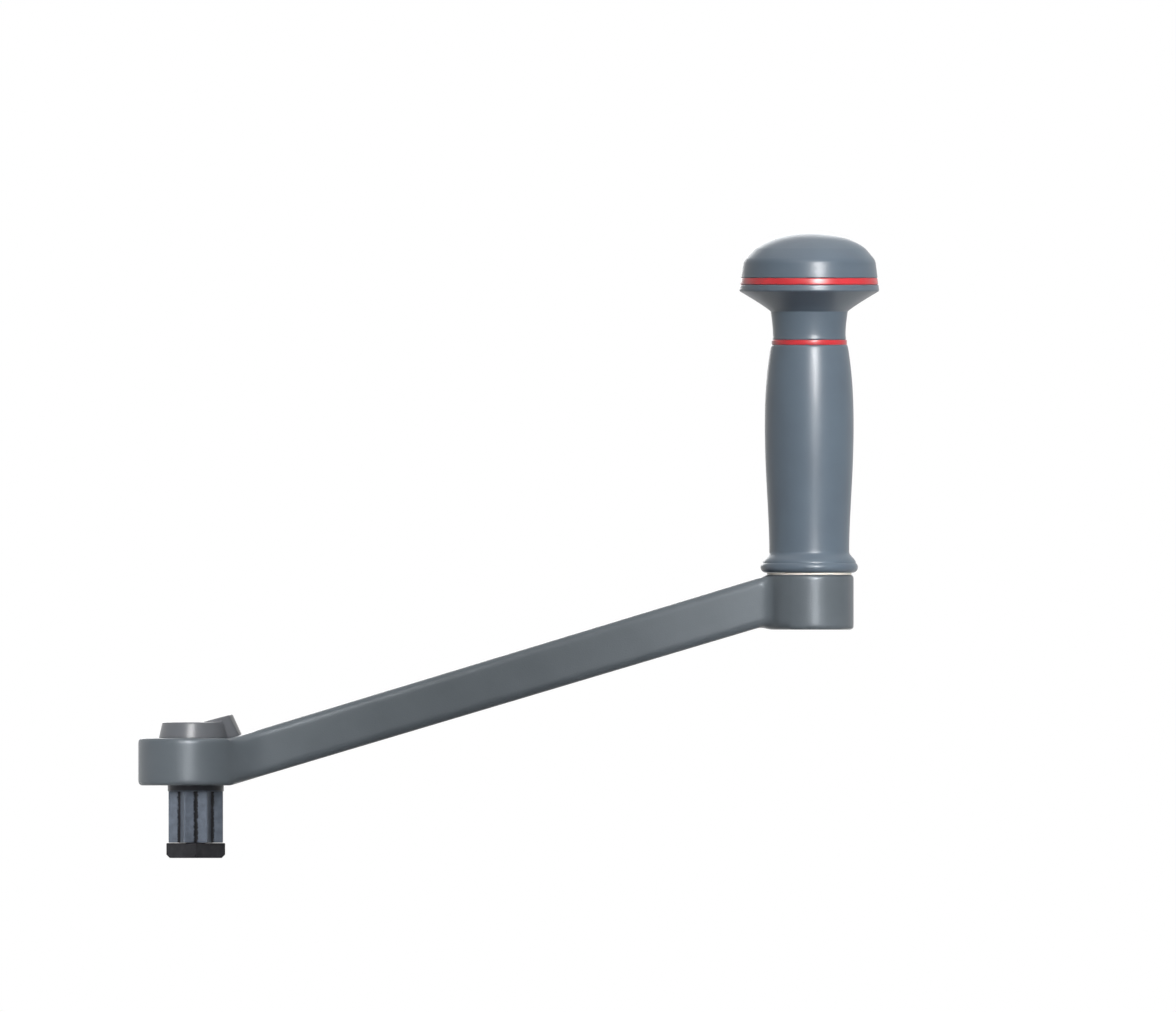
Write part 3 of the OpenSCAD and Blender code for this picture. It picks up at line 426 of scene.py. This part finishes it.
def milled_anodised_alloy(name, dark, pale, painted_shade_colour):
    """Milled aluminium, hard anodised. Painted shade darkens the star's eight valleys and the collar
    under the hub; the flats keep the plain tone.
    """
    made, tree, shader, place = finish(name, dark, 0.32, 0.2, 0.22)
    spot = add(tree, "ShaderNodeSeparateXYZ", {"Vector": place})
    turn = add(tree, "ShaderNodeMath", {
        0: spot.outputs["Y"], 1: spot.outputs["X"],
    }, operation="ARCTAN2")
    # Eight valleys, 45 degrees apart: the cosine is 1 in a valley and -1 at a tip.
    eight = add(tree, "ShaderNodeMath", {0: turn.outputs[0], 1: 8.0}, operation="MULTIPLY")
    wave = add(tree, "ShaderNodeMath", {0: eight.outputs[0]}, operation="COSINE")
    # Painted shade in the valleys: a mask round each valley, given a ragged edge by this noise.
    streak = mottle(tree, place, 1.2, -0.12, 0.12, 3.0)
    ragged = add(tree, "ShaderNodeMath", {0: wave.outputs[0], 1: streak}, operation="ADD")
    valley = add(tree, "ShaderNodeMapRange", {
        "Value": ragged.outputs[0], "From Min": 0.62, "From Max": 0.9, "To Min": 0.0, "To Max": 1.0,
    }).outputs["Result"]
    # 1 on the star and 0 on the collar above it.
    below = add(tree, "ShaderNodeMapRange", {
        "Value": spot.outputs["Z"], "From Min": -1.8 * MM, "From Max": -2.6 * MM,
        "To Min": 0.0, "To Max": 1.0,
    }).outputs["Result"]
    valley_shade = add(tree, "ShaderNodeMath", {0: valley, 1: below}, operation="MULTIPLY")
    # Painted shade on the collar, which lies under the hub: 0.85 of the way to the shade colour.
    collar = add(tree, "ShaderNodeMapRange", {
        "Value": below, "From Min": 1.0, "From Max": 0.0, "To Min": 0.0, "To Max": 0.85,
    }).outputs["Result"]
    # Where the painted shade lies: in the star's valleys and on the collar.
    painted_shade_share = add(tree, "ShaderNodeMath", {0: valley_shade.outputs[0], 1: collar}, operation="MAXIMUM")
    bare_tone = two_tone(tree, place, 3.0, dark, pale, 4.0)
    # The painted shade pulls the plain tone towards a near-black colour.
    shaded_tone = add(tree, "ShaderNodeMix", {
        FACTOR: painted_shade_share.outputs[0], TONE_A: bare_tone, TONE_B: linear(painted_shade_colour),
    }, data_type="RGBA")
    # The cutter's marks run along the star about 0.3 mm apart.
    along = add(tree, "ShaderNodeMapping", {"Vector": place, "Scale": (1, 1, 0.08)})
    marks = mottle(tree, along.outputs["Vector"], 0.3, 0.0, 1.0)
    dress(tree, shader, shaded_tone.outputs[MIXED], marks, 0.005, mottle(tree, place, 4.0, 0.3, 0.38))
    return made


def moulded_nylon(name, dark, pale, roughness):
    """Glass-filled nylon from a spark-eroded mould: satin, with a fine even pebble."""
    made, tree, shader, place = finish(name, dark, roughness, 0.0, 0.36)
    colour = two_tone(tree, place, 16.0, dark, pale)
    # The mould's texture is about 0.2 mm. It is drawn 1 mm wide so that it shows.
    pebble = mottle(tree, place, 1.0, 0.0, 1.0)
    gloss = mottle(tree, place, 12.0, roughness - 0.015, roughness + 0.015)
    dress(tree, shader, colour, pebble, 0.008, gloss)
    return made


def moulded_gloss(name, dark, pale):
    """Moulded red ring: clear red with a soft broad highlight and a faint orange peel."""
    made, tree, shader, place = finish(name, dark, 0.32)
    colour = two_tone(tree, place, 8.0, dark, pale)
    peel = mottle(tree, place, 1.6, 0.0, 1.0)
    dress(tree, shader, colour, peel, 0.006, mottle(tree, place, 5.0, 0.29, 0.35))
    return made


def turned_metal(name, dark, pale, roughness, axis_x, pitch_mm):
    """Turned or drawn metal: fine rings round its own axis, which stretch the highlight."""
    made, tree, shader, place = finish(name, dark, roughness, 1.0)
    moved = add(tree, "ShaderNodeMapping", {"Vector": place, "Location": (-axis_x * MM, 0, 0)})
    # A wave texture's rings are 2 pi / 20 of a unit apart at scale 1, so these are drawn 2 pi
    # times as coarse as the tool's real pitch, which is too fine to show.
    rings = add(tree, "ShaderNodeTexWave", {
        "Vector": moved.outputs["Vector"], "Scale": 1 / (pitch_mm * MM) / 20, "Distortion": 0.6,
        "Detail": 2.0, "Detail Scale": 1.5,
    }, wave_type="RINGS", rings_direction="Z")
    colour = two_tone(tree, place, 6.0, dark, pale, 3.0)
    gloss = mottle(tree, place, 2.5, roughness - 0.05, roughness + 0.07)
    dress(tree, shader, colour, rings.outputs["Fac"], 0.004, gloss)
    return made


def blackened_steel(name):
    """Case-hardened steel, blackened in a hot salt bath: nearly black, with a slight oily sheen."""
    made, tree, shader, place = finish(name, "#232326", 0.4, 0.3, 0.2)
    colour = two_tone(tree, place, 2.5, "#202023", "#29292C", 4.0)
    etch = mottle(tree, place, 0.4, 0.0, 1.0, 3.0)
    dress(tree, shader, colour, etch, 0.006, mottle(tree, place, 3.0, 0.34, 0.46, 4.0))
    return made


def machined_acetal(name):
    """Natural acetal turned from rod: waxy off-white, with light just entering its skin."""
    made, tree, shader, place = finish(name, "#D9D5C8", 0.42)
    shader.inputs["Subsurface Weight"].default_value = 0.08
    shader.inputs["Subsurface Radius"].default_value = (0.002, 0.0018, 0.0014)
    colour = two_tone(tree, place, 5.0, "#D2CDBE", "#E0DCD0")
    dress(tree, shader, colour, mottle(tree, place, 0.5, 0.0, 1.0), 0.006)
    return made


def nitrile_rubber(name):
    """Moulded nitrile rubber: matt black."""
    made, tree, shader, place = finish(name, "#1B1B1C", 0.7)
    colour = two_tone(tree, place, 2.0, "#171718", "#222223")
    dress(tree, shader, colour, mottle(tree, place, 0.3, 0.0, 1.0), 0.01)
    return made


FORGING = blasted_anodised_alloy("hard_anodised_forged_alloy", "#464C51", "#4A5055")
# The last colour is the painted shade in the star's valleys and on its collar.
STAR_ALLOY = milled_anodised_alloy("hard_anodised_milled_alloy", "#4A5059", "#585F6A", "#121114")
GRIP_NYLON = moulded_nylon("moulded_slate_nylon", "#434D57", "#46515B", 0.35)
LEVER_NYLON = moulded_nylon("moulded_dark_nylon", "#4A4C50", "#4F5155", 0.33)
RED_RING = moulded_gloss("moulded_red_ring", "#97161D", "#A31F26")
PLATE_STEEL = blackened_steel("blackened_case_hardened_steel")
ACETAL = machined_acetal("machined_natural_acetal")
RUBBER = nitrile_rubber("moulded_nitrile_rubber")
STAINLESS_DRIVE, STAINLESS_GRIP = (
    turned_metal(name, "#7F8184", "#8B8D8F", 0.34, axis_x, 0.25)
    for name, axis_x in (
        ("turned_stainless_on_drive_axis", DRIVE_X),
        ("turned_stainless_on_grip_axis", GRIP_X),
    )
)
BEARING = turned_metal("ground_bearing_steel", "#B4B5B8", "#C2C3C6", 0.18, GRIP_X, 0.2)
SPRING = turned_metal("drawn_spring_steel", "#8E9093", "#9B9C9F", 0.34, DRIVE_X, 0.3)
BRASS = turned_metal("turned_cage_brass", "#C39A4A", "#CFA85C", 0.3, GRIP_X, 0.25)
SPACER = turned_metal("drawn_aluminium_tube", "#B5B7BA", "#C3C5C8", 0.36, GRIP_X, 0.3)

# The CAD nodes that stay get their finishes.
for material, node_names in (
    (SPRING, ["stud_circlip", "lock_spring"]),
    (ACETAL, ["lower_bush", "upper_bush", "thrust_washer"]),
    (STAINLESS_DRIVE, ["lock_spindle", "plate_screw", "lever_washer", "lever_screw"]),
    (RUBBER, ["spindle_o_ring"]),
    (STAINLESS_GRIP, ["grip_post", "post_washer", "post_screw"]),
    (STAINLESS_GRIP, ["post_end_washer", "post_end_screw", "knob_screws"]),
    (BEARING, ["lower_inner_race", "lower_outer_race", "lower_balls"]),
    (BEARING, ["upper_inner_race", "upper_outer_race", "upper_balls"]),
    (BRASS, ["lower_ball_cage", "upper_ball_cage"]),
    (SPACER, ["race_spacer"]),
):
    for node_name in node_names:
        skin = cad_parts[node_name].data.materials
        skin.clear()
        skin.append(material)


# Arm
root_x = math.sqrt((HUB_R + ROOT_ROUND) ** 2 - (BAR_HUB_W / 2 + ROOT_ROUND) ** 2)
touch_x = root_x * HUB_R / (HUB_R + ROOT_ROUND)
slope = BAR_END_LOW / (BAR_END_X - BEND_X)


def bar_section(x):
    """A ring round the bar at x: a rounded rectangle, widened by the root fillet near the hub."""
    near = max(0.0, root_x - max(x, touch_x))
    share = min(1.0, (x - BEND_X) / (BAR_END_X - BEND_X))
    half = (BAR_HUB_W + (BAR_BOSS_W - BAR_HUB_W) * share) / 2
    half += ROOT_ROUND - math.sqrt(ROOT_ROUND ** 2 - near ** 2)
    low = slope * (x - BEND_X)
    high = HUB_H + (BOSS_TOP - HUB_H) * share
    corners = [(y, z, BAR_ROUND) for y, z in ((-half, low), (half, low), (half, high), (-half, high))]
    return [(x, y, z) for y, z in soft_corners(corners, steps=6)]


stations = [BEND_X, 16, 18, 20, 22.5, 25, 27, 29, ROOT_END_X]
stations += [ROOT_END_X + (BAR_END_X - ROOT_END_X) * k / 24 for k in range(1, 25)]
stations += [GRIP_X - BOSS_R / 2]
# The hub's underside is cut away along the slope of the bar. Here and below, the shapes that cut
# run a little past the faces that they open.
wedge = loft([
    [
        (BEND_X, y, -HUB_TRIM), (root_x, y, slope * (root_x - BEND_X) - HUB_TRIM),
        (root_x, y, -2), (BEND_X, y, -2),
    ]
    for y in (-HUB_R - 2, HUB_R + 2)
])
forging = fused(joined_up(
    combine(disc(DRIVE_X, HUB_R, 0, HUB_H, HUB_RIM), wedge, solver="EXACT"),
    disc(GRIP_X, BOSS_R, BOSS_LOW, BOSS_TOP, BOSS_RIM),
    loft([bar_section(x) for x in stations]),
), ARM_VOXEL)

# Forging blends: the creases at the hub and the boss are smoothed far more than the rest.
blends = forging.vertex_groups.new(name="blends")
for vertex in forging.data.vertices:
    x, y, z = (c / MM for c in vertex.co)
    from_hub = abs(math.hypot(x, y) - HUB_R)
    from_boss = abs(math.hypot(x - GRIP_X, y) - BOSS_R)
    by_bar = abs(y) < BLEND_HALF_W and BLEND_END < x < GRIP_X - BLEND_END
    weight = max(0.0, 1 - from_hub / HUB_BLEND, 1 - from_boss / BOSS_BLEND)
    if by_bar and weight > 0 and SEAT_BAND <= z <= BOSS_TOP - SEAT_BAND:
        blends.add([vertex.index], min(1.0, 1.6 * weight), "REPLACE")
forging = smoothed(forging, (6, ""), (60, "blends"))

collar_hole = COLLAR_R + COLLAR_GAP
post_mouth = POST_RECESS_R + POST_LEAD
for tool in (
    lathe([
        (0, -2), (collar_hole + COLLAR_LEAD, -2), (collar_hole + COLLAR_LEAD, 0),
        (collar_hole, COLLAR_LEAD), (collar_hole, COLLAR_SEAT), (0, COLLAR_SEAT),
    ], DRIVE_X),
    hexagon(HEX_AF + HEX_GAP, COLLAR_SEAT - 1, HUB_FLOOR + 1),
    cylinder(DRIVE_X, RECESS_R, HUB_FLOOR, HUB_H + 5),
    arc_block(RECESS_R - 1, POCKET_R, POCKET_START, POCKET_END, POCKET_FLOOR, HUB_H + 5),
    prism([
        (-LEG_SLOT_HALF, LEG_SLOT_START), (LEG_SLOT_HALF, LEG_SLOT_START),
        (LEG_SLOT_HALF, POCKET_R), (-LEG_SLOT_HALF, POCKET_R),
    ], LEG_SLOT_FLOOR, HUB_H + 5),
    cylinder(DRIVE_X, SEAT_R, SEAT_Z, 60),
    lathe([
        (0, BOSS_LOW - 3), (post_mouth, BOSS_LOW - 3), (post_mouth, BOSS_LOW),
        (POST_RECESS_R, BOSS_LOW + POST_LEAD), (POST_RECESS_R, POST_ROOF),
        (TAIL_BORE_R, POST_ROOF), (TAIL_BORE_R, BOSS_TOP + 5), (0, BOSS_TOP + 5),
    ], GRIP_X),
):
    forging = combine(forging, tool)
to_object("arm_forging", forging, "arm", "arm", FORGING)


# Star drive and lock plate
def star(inset=0.0):
    """Radius of the star by angle: two squares 45 degrees apart, with their eight tips blunted."""
    first = polygon(STAR_AF - 2 * inset, 4, STAR_TURN)
    second = polygon(STAR_AF - 2 * inset, 4, STAR_TURN + 45)
    return lambda a: min(STAR_TIP_R - inset, max(first(a), second(a)))


blunt = 45 - math.degrees(math.acos(STAR_AF / 2 / STAR_TIP_R))
tips = [STAR_TURN + 45 * i + off for i in range(8) for off in (-blunt, blunt)]
shank = polygon(HEX_AF, 6, 30)
to_object("star_stud", lathe([
    (FLANGE_R, STAR_END), (star(EASE), STAR_END), (star(EASE_MID), STAR_END + EASE_MID),
    (star(), STAR_END + EASE), (star(), COLLAR_LOW),
    (COLLAR_R - EASE, COLLAR_LOW), (COLLAR_R - EASE_MID, COLLAR_LOW + EASE_MID),
    (COLLAR_R, COLLAR_LOW + EASE), (COLLAR_R, COLLAR_SEAT),
    (shank, COLLAR_SEAT), (shank, HUB_FLOOR), (GROOVE_R, HUB_FLOOR), (GROOVE_R, HUB_FLOOR + GROOVE_H),
    (NECK_R, HUB_FLOOR + GROOVE_H), (NECK_R, NECK_TOP - EASE), (NECK_R - EASE, NECK_TOP),
    (BUSH_R, NECK_TOP), (BUSH_R, NECK_TOP - BUSH_LONG), (STUD_BORE_R, NECK_TOP - BUSH_LONG),
    (STUD_BORE_R, STAR_END + BUSH_LONG), (BUSH_R, STAR_END + BUSH_LONG),
    (BUSH_R, STAR_END + FLANGE_SINK), (FLANGE_R, STAR_END + FLANGE_SINK),
], DRIVE_X, extra=tips), "arm", "star_drive", STAR_ALLOY)

block = polygon(PLATE_SIDE, 4, 45)
tenon = polygon(TENON_AF + TENON_GAP, 4, 45)


def plate_r(inset, limit=math.inf):
    """Radius of the lock plate by angle, set in at an eased edge and cut by its corners' chamfer."""
    return lambda a: min(block(a) - inset, limit)


cone_r = PLATE_SIDE / math.sqrt(2) - PLATE_CHAMFER
chamfer = []
for k in range(7):
    up = PLATE_CHAMFER * k / 6
    chamfer.append((plate_r(0.0 if k else EASE, cone_r + up), PLATE_LOW + up))
to_object("lock_plate_block", lathe([
    (SCREW_SINK_R, PLATE_LOW), *chamfer,
    (plate_r(0), PLATE_TOP - PLATE_EDGE), (plate_r(PLATE_EDGE), PLATE_TOP),
    (tenon, PLATE_TOP), (tenon, PLATE_TOP - TENON_DEEP), (SCREW_HOLE_R, PLATE_TOP - TENON_DEEP),
    (SCREW_HOLE_R, PLATE_LOW + SCREW_SINK_R - SCREW_HOLE_R),
], DRIVE_X), "lock", "lock_plate", PLATE_STEEL)


# Lock lever
foot = lathe([
    (0, LEVER_LOW), (LEVER_FOOT_R, LEVER_LOW), (LEVER_TOP_R, LEVER_TOP), (0, LEVER_TOP),
], DRIVE_X)
lug_turned = lathe([
    (0, LEVER_LOW), (LUG_REACH, LEVER_LOW), (LUG_REACH, LEVER_LOW + LUG_FOOT),
    (LUG_TIP_X, LUG_TOP), (0, LUG_TOP),
], DRIVE_X)
ramp = (LUG_TOP - LEVER_TOP) / (LUG_TIP_X - LUG_START)
lug_end = LUG_REACH + 1
lug_side = [
    (0, LEVER_LOW), (lug_end, LEVER_LOW), (lug_end, LEVER_TOP + ramp * (lug_end - LUG_START)),
    (LUG_START, LEVER_TOP), (0, LEVER_TOP),
]


def lug_half(x):
    """Half the lug's width, which is widest on the axis."""
    return (LUG_W * LUG_SPREAD + (LUG_W - LUG_W * LUG_SPREAD) * x / lug_end) / 2


lug_tapered = loft([[(x, side * lug_half(x), z) for x, z in lug_side] for side in (-1, 1)])
lug = combine(lug_turned, lug_tapered, "INTERSECT", "EXACT")
lever = smoothed(fused(combine(foot, lug, "UNION", "EXACT"), LEVER_VOXEL), (7, ""))
half_tenon = TOP_TENON_AF / 2 + TOP_TENON_GAP
for tool, operation in (
    (cylinder(DRIVE_X, 25, LEVER_LOW - 3, LEVER_LOW + LEVER_TRIM), "DIFFERENCE"),
    (cylinder(DRIVE_X, LEVER_BOSS_R, LEVER_BOSS_LOW, LEVER_LOW + 1), "UNION"),
    (arc_block(TAB_IN_R, TAB_OUT_R, TAB_START, TAB_END, TAB_LOW, LEVER_LOW + 1), "UNION"),
    (cylinder(DRIVE_X, SHOULDER_R, 13, SHOULDER_TOP), "DIFFERENCE"),
    (prism([
        (half_tenon, half_tenon), (-half_tenon, half_tenon),
        (-half_tenon, -half_tenon), (half_tenon, -half_tenon),
    ], 15, HEAD_SEAT_Z + 1), "DIFFERENCE"),
    (lathe([
        (0, HEAD_SEAT_Z), (HEAD_SEAT_R, HEAD_SEAT_Z), (HEAD_SEAT_R, LEVER_TOP - 0.35),
        (HEAD_SEAT_R + HEAD_LEAD, LEVER_TOP + 0.05), (HEAD_SEAT_R + HEAD_LEAD, 40), (0, 40),
    ], DRIVE_X), "DIFFERENCE"),
):
    lever = combine(lever, tool, operation)
to_object("lock_lever_moulding", lever, "lock", "lock_lever", LEVER_NYLON)


# Grip
def grip_outside():
    """The sleeve's outline from its foot to the neck ring, finer than in the part's source."""
    out = []
    for k in range(25):
        x, z = on_circle(BEAD_ROUND, BEAD_START + (BEAD_END - BEAD_START) * k / 24)
        out.append((BEAD_R - BEAD_ROUND + x, FOOT_Z + BEAD_ROUND + z))
    start_r, start_z = out[-1]
    for k in range(1, 21):
        t = k / 20
        flare = (1 + math.cos(math.pi * t)) / 2
        out.append((WAIST_R + (start_r - WAIST_R) * flare, start_z + (FLARE_TOP - start_z) * t))
    for k in range(1, 41):
        t = k / 40
        swell = math.sin(math.pi / 2 * t ** BELLY_RISE) ** 2
        out.append((WAIST_R + (BELLY_R - WAIST_R) * swell, FLARE_TOP + (BELLY_Z - FLARE_TOP) * t))
    for k in range(1, 31):
        t = k / 30
        fall = t ** TOP_FALL
        out.append((BELLY_R - (BELLY_R - SLEEVE_TOP_R) * fall, BELLY_Z + (NECK_RING_Z - BELLY_Z) * t))
    # The top edge is eased, so that a fine line shows under the neck ring.
    out[-1] = (out[-1][0] - RING_ROUND, out[-1][1])
    out.insert(-1, (out[-1][0] + 0.28, out[-1][1] - 0.32))
    return out


def screw_drills(base, radius, low, high):
    """Drills the three holes for the knob's screws."""
    for angle in KNOB_SCREW_ANGLES:
        x, y = on_circle(KNOB_SCREW_CIRCLE_R, angle)
        drill = cylinder(0, radius, low, high, DRILL_STEPS)
        bmesh.ops.translate(drill, verts=drill.verts, vec=((GRIP_X + x) * MM, y * MM, 0))
        base = combine(base, drill)
    return base


sleeve = lathe(grip_outside() + [
    (BEARING_UP_R + RING_ROUND, NECK_RING_Z), (BEARING_UP_R, NECK_RING_Z - RING_ROUND),
    (BEARING_UP_R, UPPER_RACE_LOW), (SLEEVE_BORE_R, UPPER_RACE_LOW),
    (SLEEVE_BORE_R, LOWER_RACE_TOP), (BEARING_LOW_R, LOWER_RACE_TOP),
    (BEARING_LOW_R, FOOT_Z + BEARING_LEAD), (BEARING_LOW_R + BEARING_LEAD, FOOT_Z),
], GRIP_X, GRIP_STEPS)
sleeve = screw_drills(sleeve, KNOB_SCREW_TAP_R, 175.5, NECK_RING_Z + 1)
to_object("grip_sleeve_moulding", sleeve, "grip", "grip_sleeve", GRIP_NYLON)

neck_ring_r = SLEEVE_TOP_R - RING_ROUND
neck_ring = lathe(soft_corners([
    (BEARING_UP_R, NECK_RING_Z), (neck_ring_r, NECK_RING_Z, RING_ROUND),
    (neck_ring_r, NECK_LOW, RING_ROUND), (BEARING_UP_R, NECK_LOW),
], steps=5), GRIP_X, GRIP_STEPS)
neck_ring = screw_drills(neck_ring, KNOB_SCREW_HOLE_R, 181, 186)
to_object("neck_ring_moulding", neck_ring, "grip", "neck_ring", RED_RING)


# Knob
def side_r(z):
    """The knob's side: a straight taper from its widest place up to the cap's corner."""
    return KNOB_R - SIDE_TAPER * (z - WIDE_Z) / (CORNER_Z - WIDE_Z)


def neck_at(t):
    """The neck's radius: narrowest a little above its foot, then flaring to the cone."""
    if t < NECK_DIP:
        return NECK_R_MIN + (NECK_FOOT_R - NECK_R_MIN) * (1 - t / NECK_DIP) ** 2
    return NECK_R_MIN + (CONE_LOW_R - NECK_R_MIN) * ((t - NECK_DIP) / (1 - NECK_DIP)) ** NECK_FLARE


def cone_at(t):
    return CONE_LOW_R + (KNOB_R - CONE_LOW_R) * t ** CONE_FLARE


skirt_r = side_r(RING_LOW) - KNOB_WALL
skirt_seat = RING_LOW - SKIRT_DEPTH
ledge_r = skirt_r - SKIRT_LEDGE
base_out = [(neck_at(k / 24), NECK_LOW + (CONE_LOW - NECK_LOW) * k / 24) for k in range(25)]
# The foot's edge is eased, so that a fine line shows above the neck ring.
base_out[0] = (base_out[0][0] - 0.28, NECK_LOW)
base_out.insert(1, (base_out[1][0], NECK_LOW + 0.3))
base_out += [(cone_at(k / 14), CONE_LOW + (WIDE_Z - CONE_LOW) * k / 14) for k in range(1, 14)]
widest = soft_corners([
    base_out[-1], (KNOB_R, WIDE_Z, WIDE_ROUND),
    (side_r(RING_LOW), RING_LOW, SKIRT_EDGE), (skirt_r, RING_LOW),
], closed=False, steps=8)
knob_base = lathe(base_out[:-1] + widest[:-1] + [
    (skirt_r + PRESS_GAP, RING_LOW), (skirt_r + PRESS_GAP, skirt_seat),
    (ledge_r, skirt_seat), (ledge_r, skirt_seat - LEDGE_H),
    (BOWL_FLOOR_R, BOWL_FLOOR), (0, BOWL_FLOOR), (0, SPIGOT_ROOF), (SPIGOT_BORE_R, SPIGOT_ROOF),
    (SPIGOT_BORE_R, UPPER_RACE_TOP + PRESS_GAP), (SPIGOT_R, UPPER_RACE_TOP + PRESS_GAP),
    (SPIGOT_R, NECK_LOW),
], GRIP_X, GRIP_STEPS)
knob_base = screw_drills(knob_base, KNOB_SCREW_HOLE_R, NECK_LOW - 1, 200)
to_object("knob_base_moulding", knob_base, "grip", "knob_base", GRIP_NYLON)

to_object("knob_ring_moulding", lathe(soft_corners([
    (skirt_r + PRESS_GAP, RING_LOW), (side_r(RING_LOW) - RING_SINK, RING_LOW, RING_EDGE),
    (side_r(RING_HIGH) - RING_SINK, RING_HIGH, RING_EDGE), (skirt_r + PRESS_GAP, RING_HIGH),
], steps=5), GRIP_X, GRIP_STEPS), "grip", "knob_ring", RED_RING)

cap_r = KNOB_R - SIDE_TAPER
dome_r = cap_r * DOME_SPREAD
dome_tall = (KNOB_TOP - CORNER_Z) / (1 - math.sqrt(1 - (cap_r / dome_r) ** 2))
dome_start = math.acos(cap_r / dome_r)


def dome(wall, steps):
    """Half an ellipse's outline from the cap's corner to its top, set in by a wall."""
    angles = [dome_start + (math.pi / 2 - dome_start) * k / steps for k in range(steps + 1)]
    return [
        ((dome_r - wall) * math.cos(a), KNOB_TOP - dome_tall + (dome_tall - wall) * math.sin(a))
        for a in angles
    ]


outer, inner = dome(0, 48), dome(CAP_WALL, 10)
# The corner's round ends on the dome, which goes on from its next point.
corner_end = 12
cap_edge = soft_corners([
    (skirt_r, RING_HIGH), (side_r(RING_HIGH), RING_HIGH, SKIRT_EDGE),
    (cap_r, CORNER_Z, CORNER_ROUND), outer[corner_end],
], closed=False, steps=12)
knob_cap = lathe([
    (skirt_r, skirt_seat), *cap_edge, *outer[corner_end + 1:-1], (0, KNOB_TOP),
    (0, inner[-1][1]), *inner[-2:0:-1],
    (skirt_r - SKIRT_WALL, inner[1][1] - 1), (skirt_r - SKIRT_WALL, skirt_seat),
], GRIP_X, GRIP_STEPS)
to_object("knob_cap_moulding", knob_cap, "grip", "knob_cap", GRIP_NYLON)


# Floor, light and camera
floor_shape = bmesh.new()
bmesh.ops.create_grid(floor_shape, x_segments=1, y_segments=1, size=1.5)
floor = scratch(floor_shape, "studio_floor")
floor.location = (0.15, 0, -30.3 * MM)   # just under the lock plate
paper, tree, shader, place = finish("pale_paper", "#DADADA", 0.9)
tone = two_tone(tree, place, 40.0, "#D9D9D9", "#DCDCDC")
# The paper throws back less light than it shows, so that undersides stay as dark as drawn.
muted = add(tree, "ShaderNodeMix", {
    FACTOR: direct_view(tree), TONE_A: linear("#8C8C8C"), TONE_B: tone,
}, data_type="RGBA")
tree.links.new(muted.outputs[MIXED], shader.inputs["Base Color"])
# Away from the handle, and from below, the paper fades into the white background, with no horizon.
away = add(tree, "ShaderNodeVectorMath", {0: place}, operation="LENGTH")
fade = add(tree, "ShaderNodeMapRange", {
    "Value": away.outputs["Value"], "From Min": 0.3, "From Max": 0.74, "To Min": 0.0, "To Max": 1.0,
}, interpolation_type="SMOOTHSTEP")
from_below = add(tree, "ShaderNodeNewGeometry").outputs["Backfacing"]
gone = add(tree, "ShaderNodeMath", {0: fade.outputs["Result"], 1: from_below}, operation="MAXIMUM")
clear = add(tree, "ShaderNodeBsdfTransparent")
blend = add(tree, "ShaderNodeMixShader", {
    0: gone.outputs[0], 1: shader.outputs[0], 2: clear.outputs[0],
})
out = next(n for n in tree.nodes if n.type == "OUTPUT_MATERIAL")
tree.links.new(blend.outputs[0], out.inputs["Surface"])
floor.data.materials.append(paper)

# The background is plain white to the eye and in reflections, and lights the handle only faintly.
world = bpy.data.worlds.new("studio")
bpy.context.scene.world = world
world.use_nodes = True
tree = world.node_tree
sky = next(n for n in tree.nodes if n.type == "BACKGROUND")
out = next(n for n in tree.nodes if n.type == "OUTPUT_WORLD")
sky.inputs["Color"].default_value = (1, 1, 1, 1)
sky.inputs["Strength"].default_value = 0.08
white = add(tree, "ShaderNodeBackground", {"Color": (1, 1, 1, 1), "Strength": 1.0})
mix = add(tree, "ShaderNodeMixShader", {0: direct_view(tree), 1: sky.outputs[0], 2: white.outputs[0]})
tree.links.new(mix.outputs[0], out.inputs["Surface"])


def softbox(name, place, aim, width, height, watts, spread_deg):
    """A rectangular studio lamp, in metres, that points at its aim."""
    data = bpy.data.lights.new(name, "AREA")
    data.shape = "RECTANGLE"
    data.size, data.size_y = width, height
    data.energy = watts
    data.spread = math.radians(spread_deg)
    lamp = bpy.data.objects.new(name, data)
    lamp.location = place
    lamp.rotation_euler = (Vector(aim) - Vector(place)).to_track_quat("-Z", "Y").to_euler()
    bpy.context.scene.collection.objects.link(lamp)


# The two keys are narrow strips: each draws one upright highlight, on the hub and on the grip.
softbox("main", (0.15, -1.10, 1.05), (0.15, 0, 0.10), 1.4, 0.5, 5.0, 180)
softbox("hub_key", (-0.34, -1.13, 0.38), (-0.18, 0, 0.01), 0.16, 0.78, 2.5, 32)
softbox("grip_key", (0.60, -1.13, 0.50), (0.434, 0, 0.15), 0.16, 0.80, 3.2, 32)
softbox("overhead", (0.15, 0.0, 2.0), (0.15, 0, 0.0), 2.4, 2.4, 21, 180)
softbox("behind", (0.0, 1.4, 0.6), (0.15, 0, 0.1), 0.8, 0.8, 9, 180)

# The drawing is seen square on from the side, 0.4869 m wide at 0.414 mm a pixel.
eye = bpy.data.cameras.new("photo_view")
eye.type = "ORTHO"
eye.ortho_scale = 0.4869
camera = bpy.data.objects.new("photo_view", eye)
camera.location = (0.1624, -1.6, 0.1157)
camera.rotation_euler = (math.pi / 2, 0, 0)
bpy.context.scene.collection.objects.link(camera)
bpy.context.scene.camera = camera
bpy.context.scene.view_settings.view_transform = "Standard"
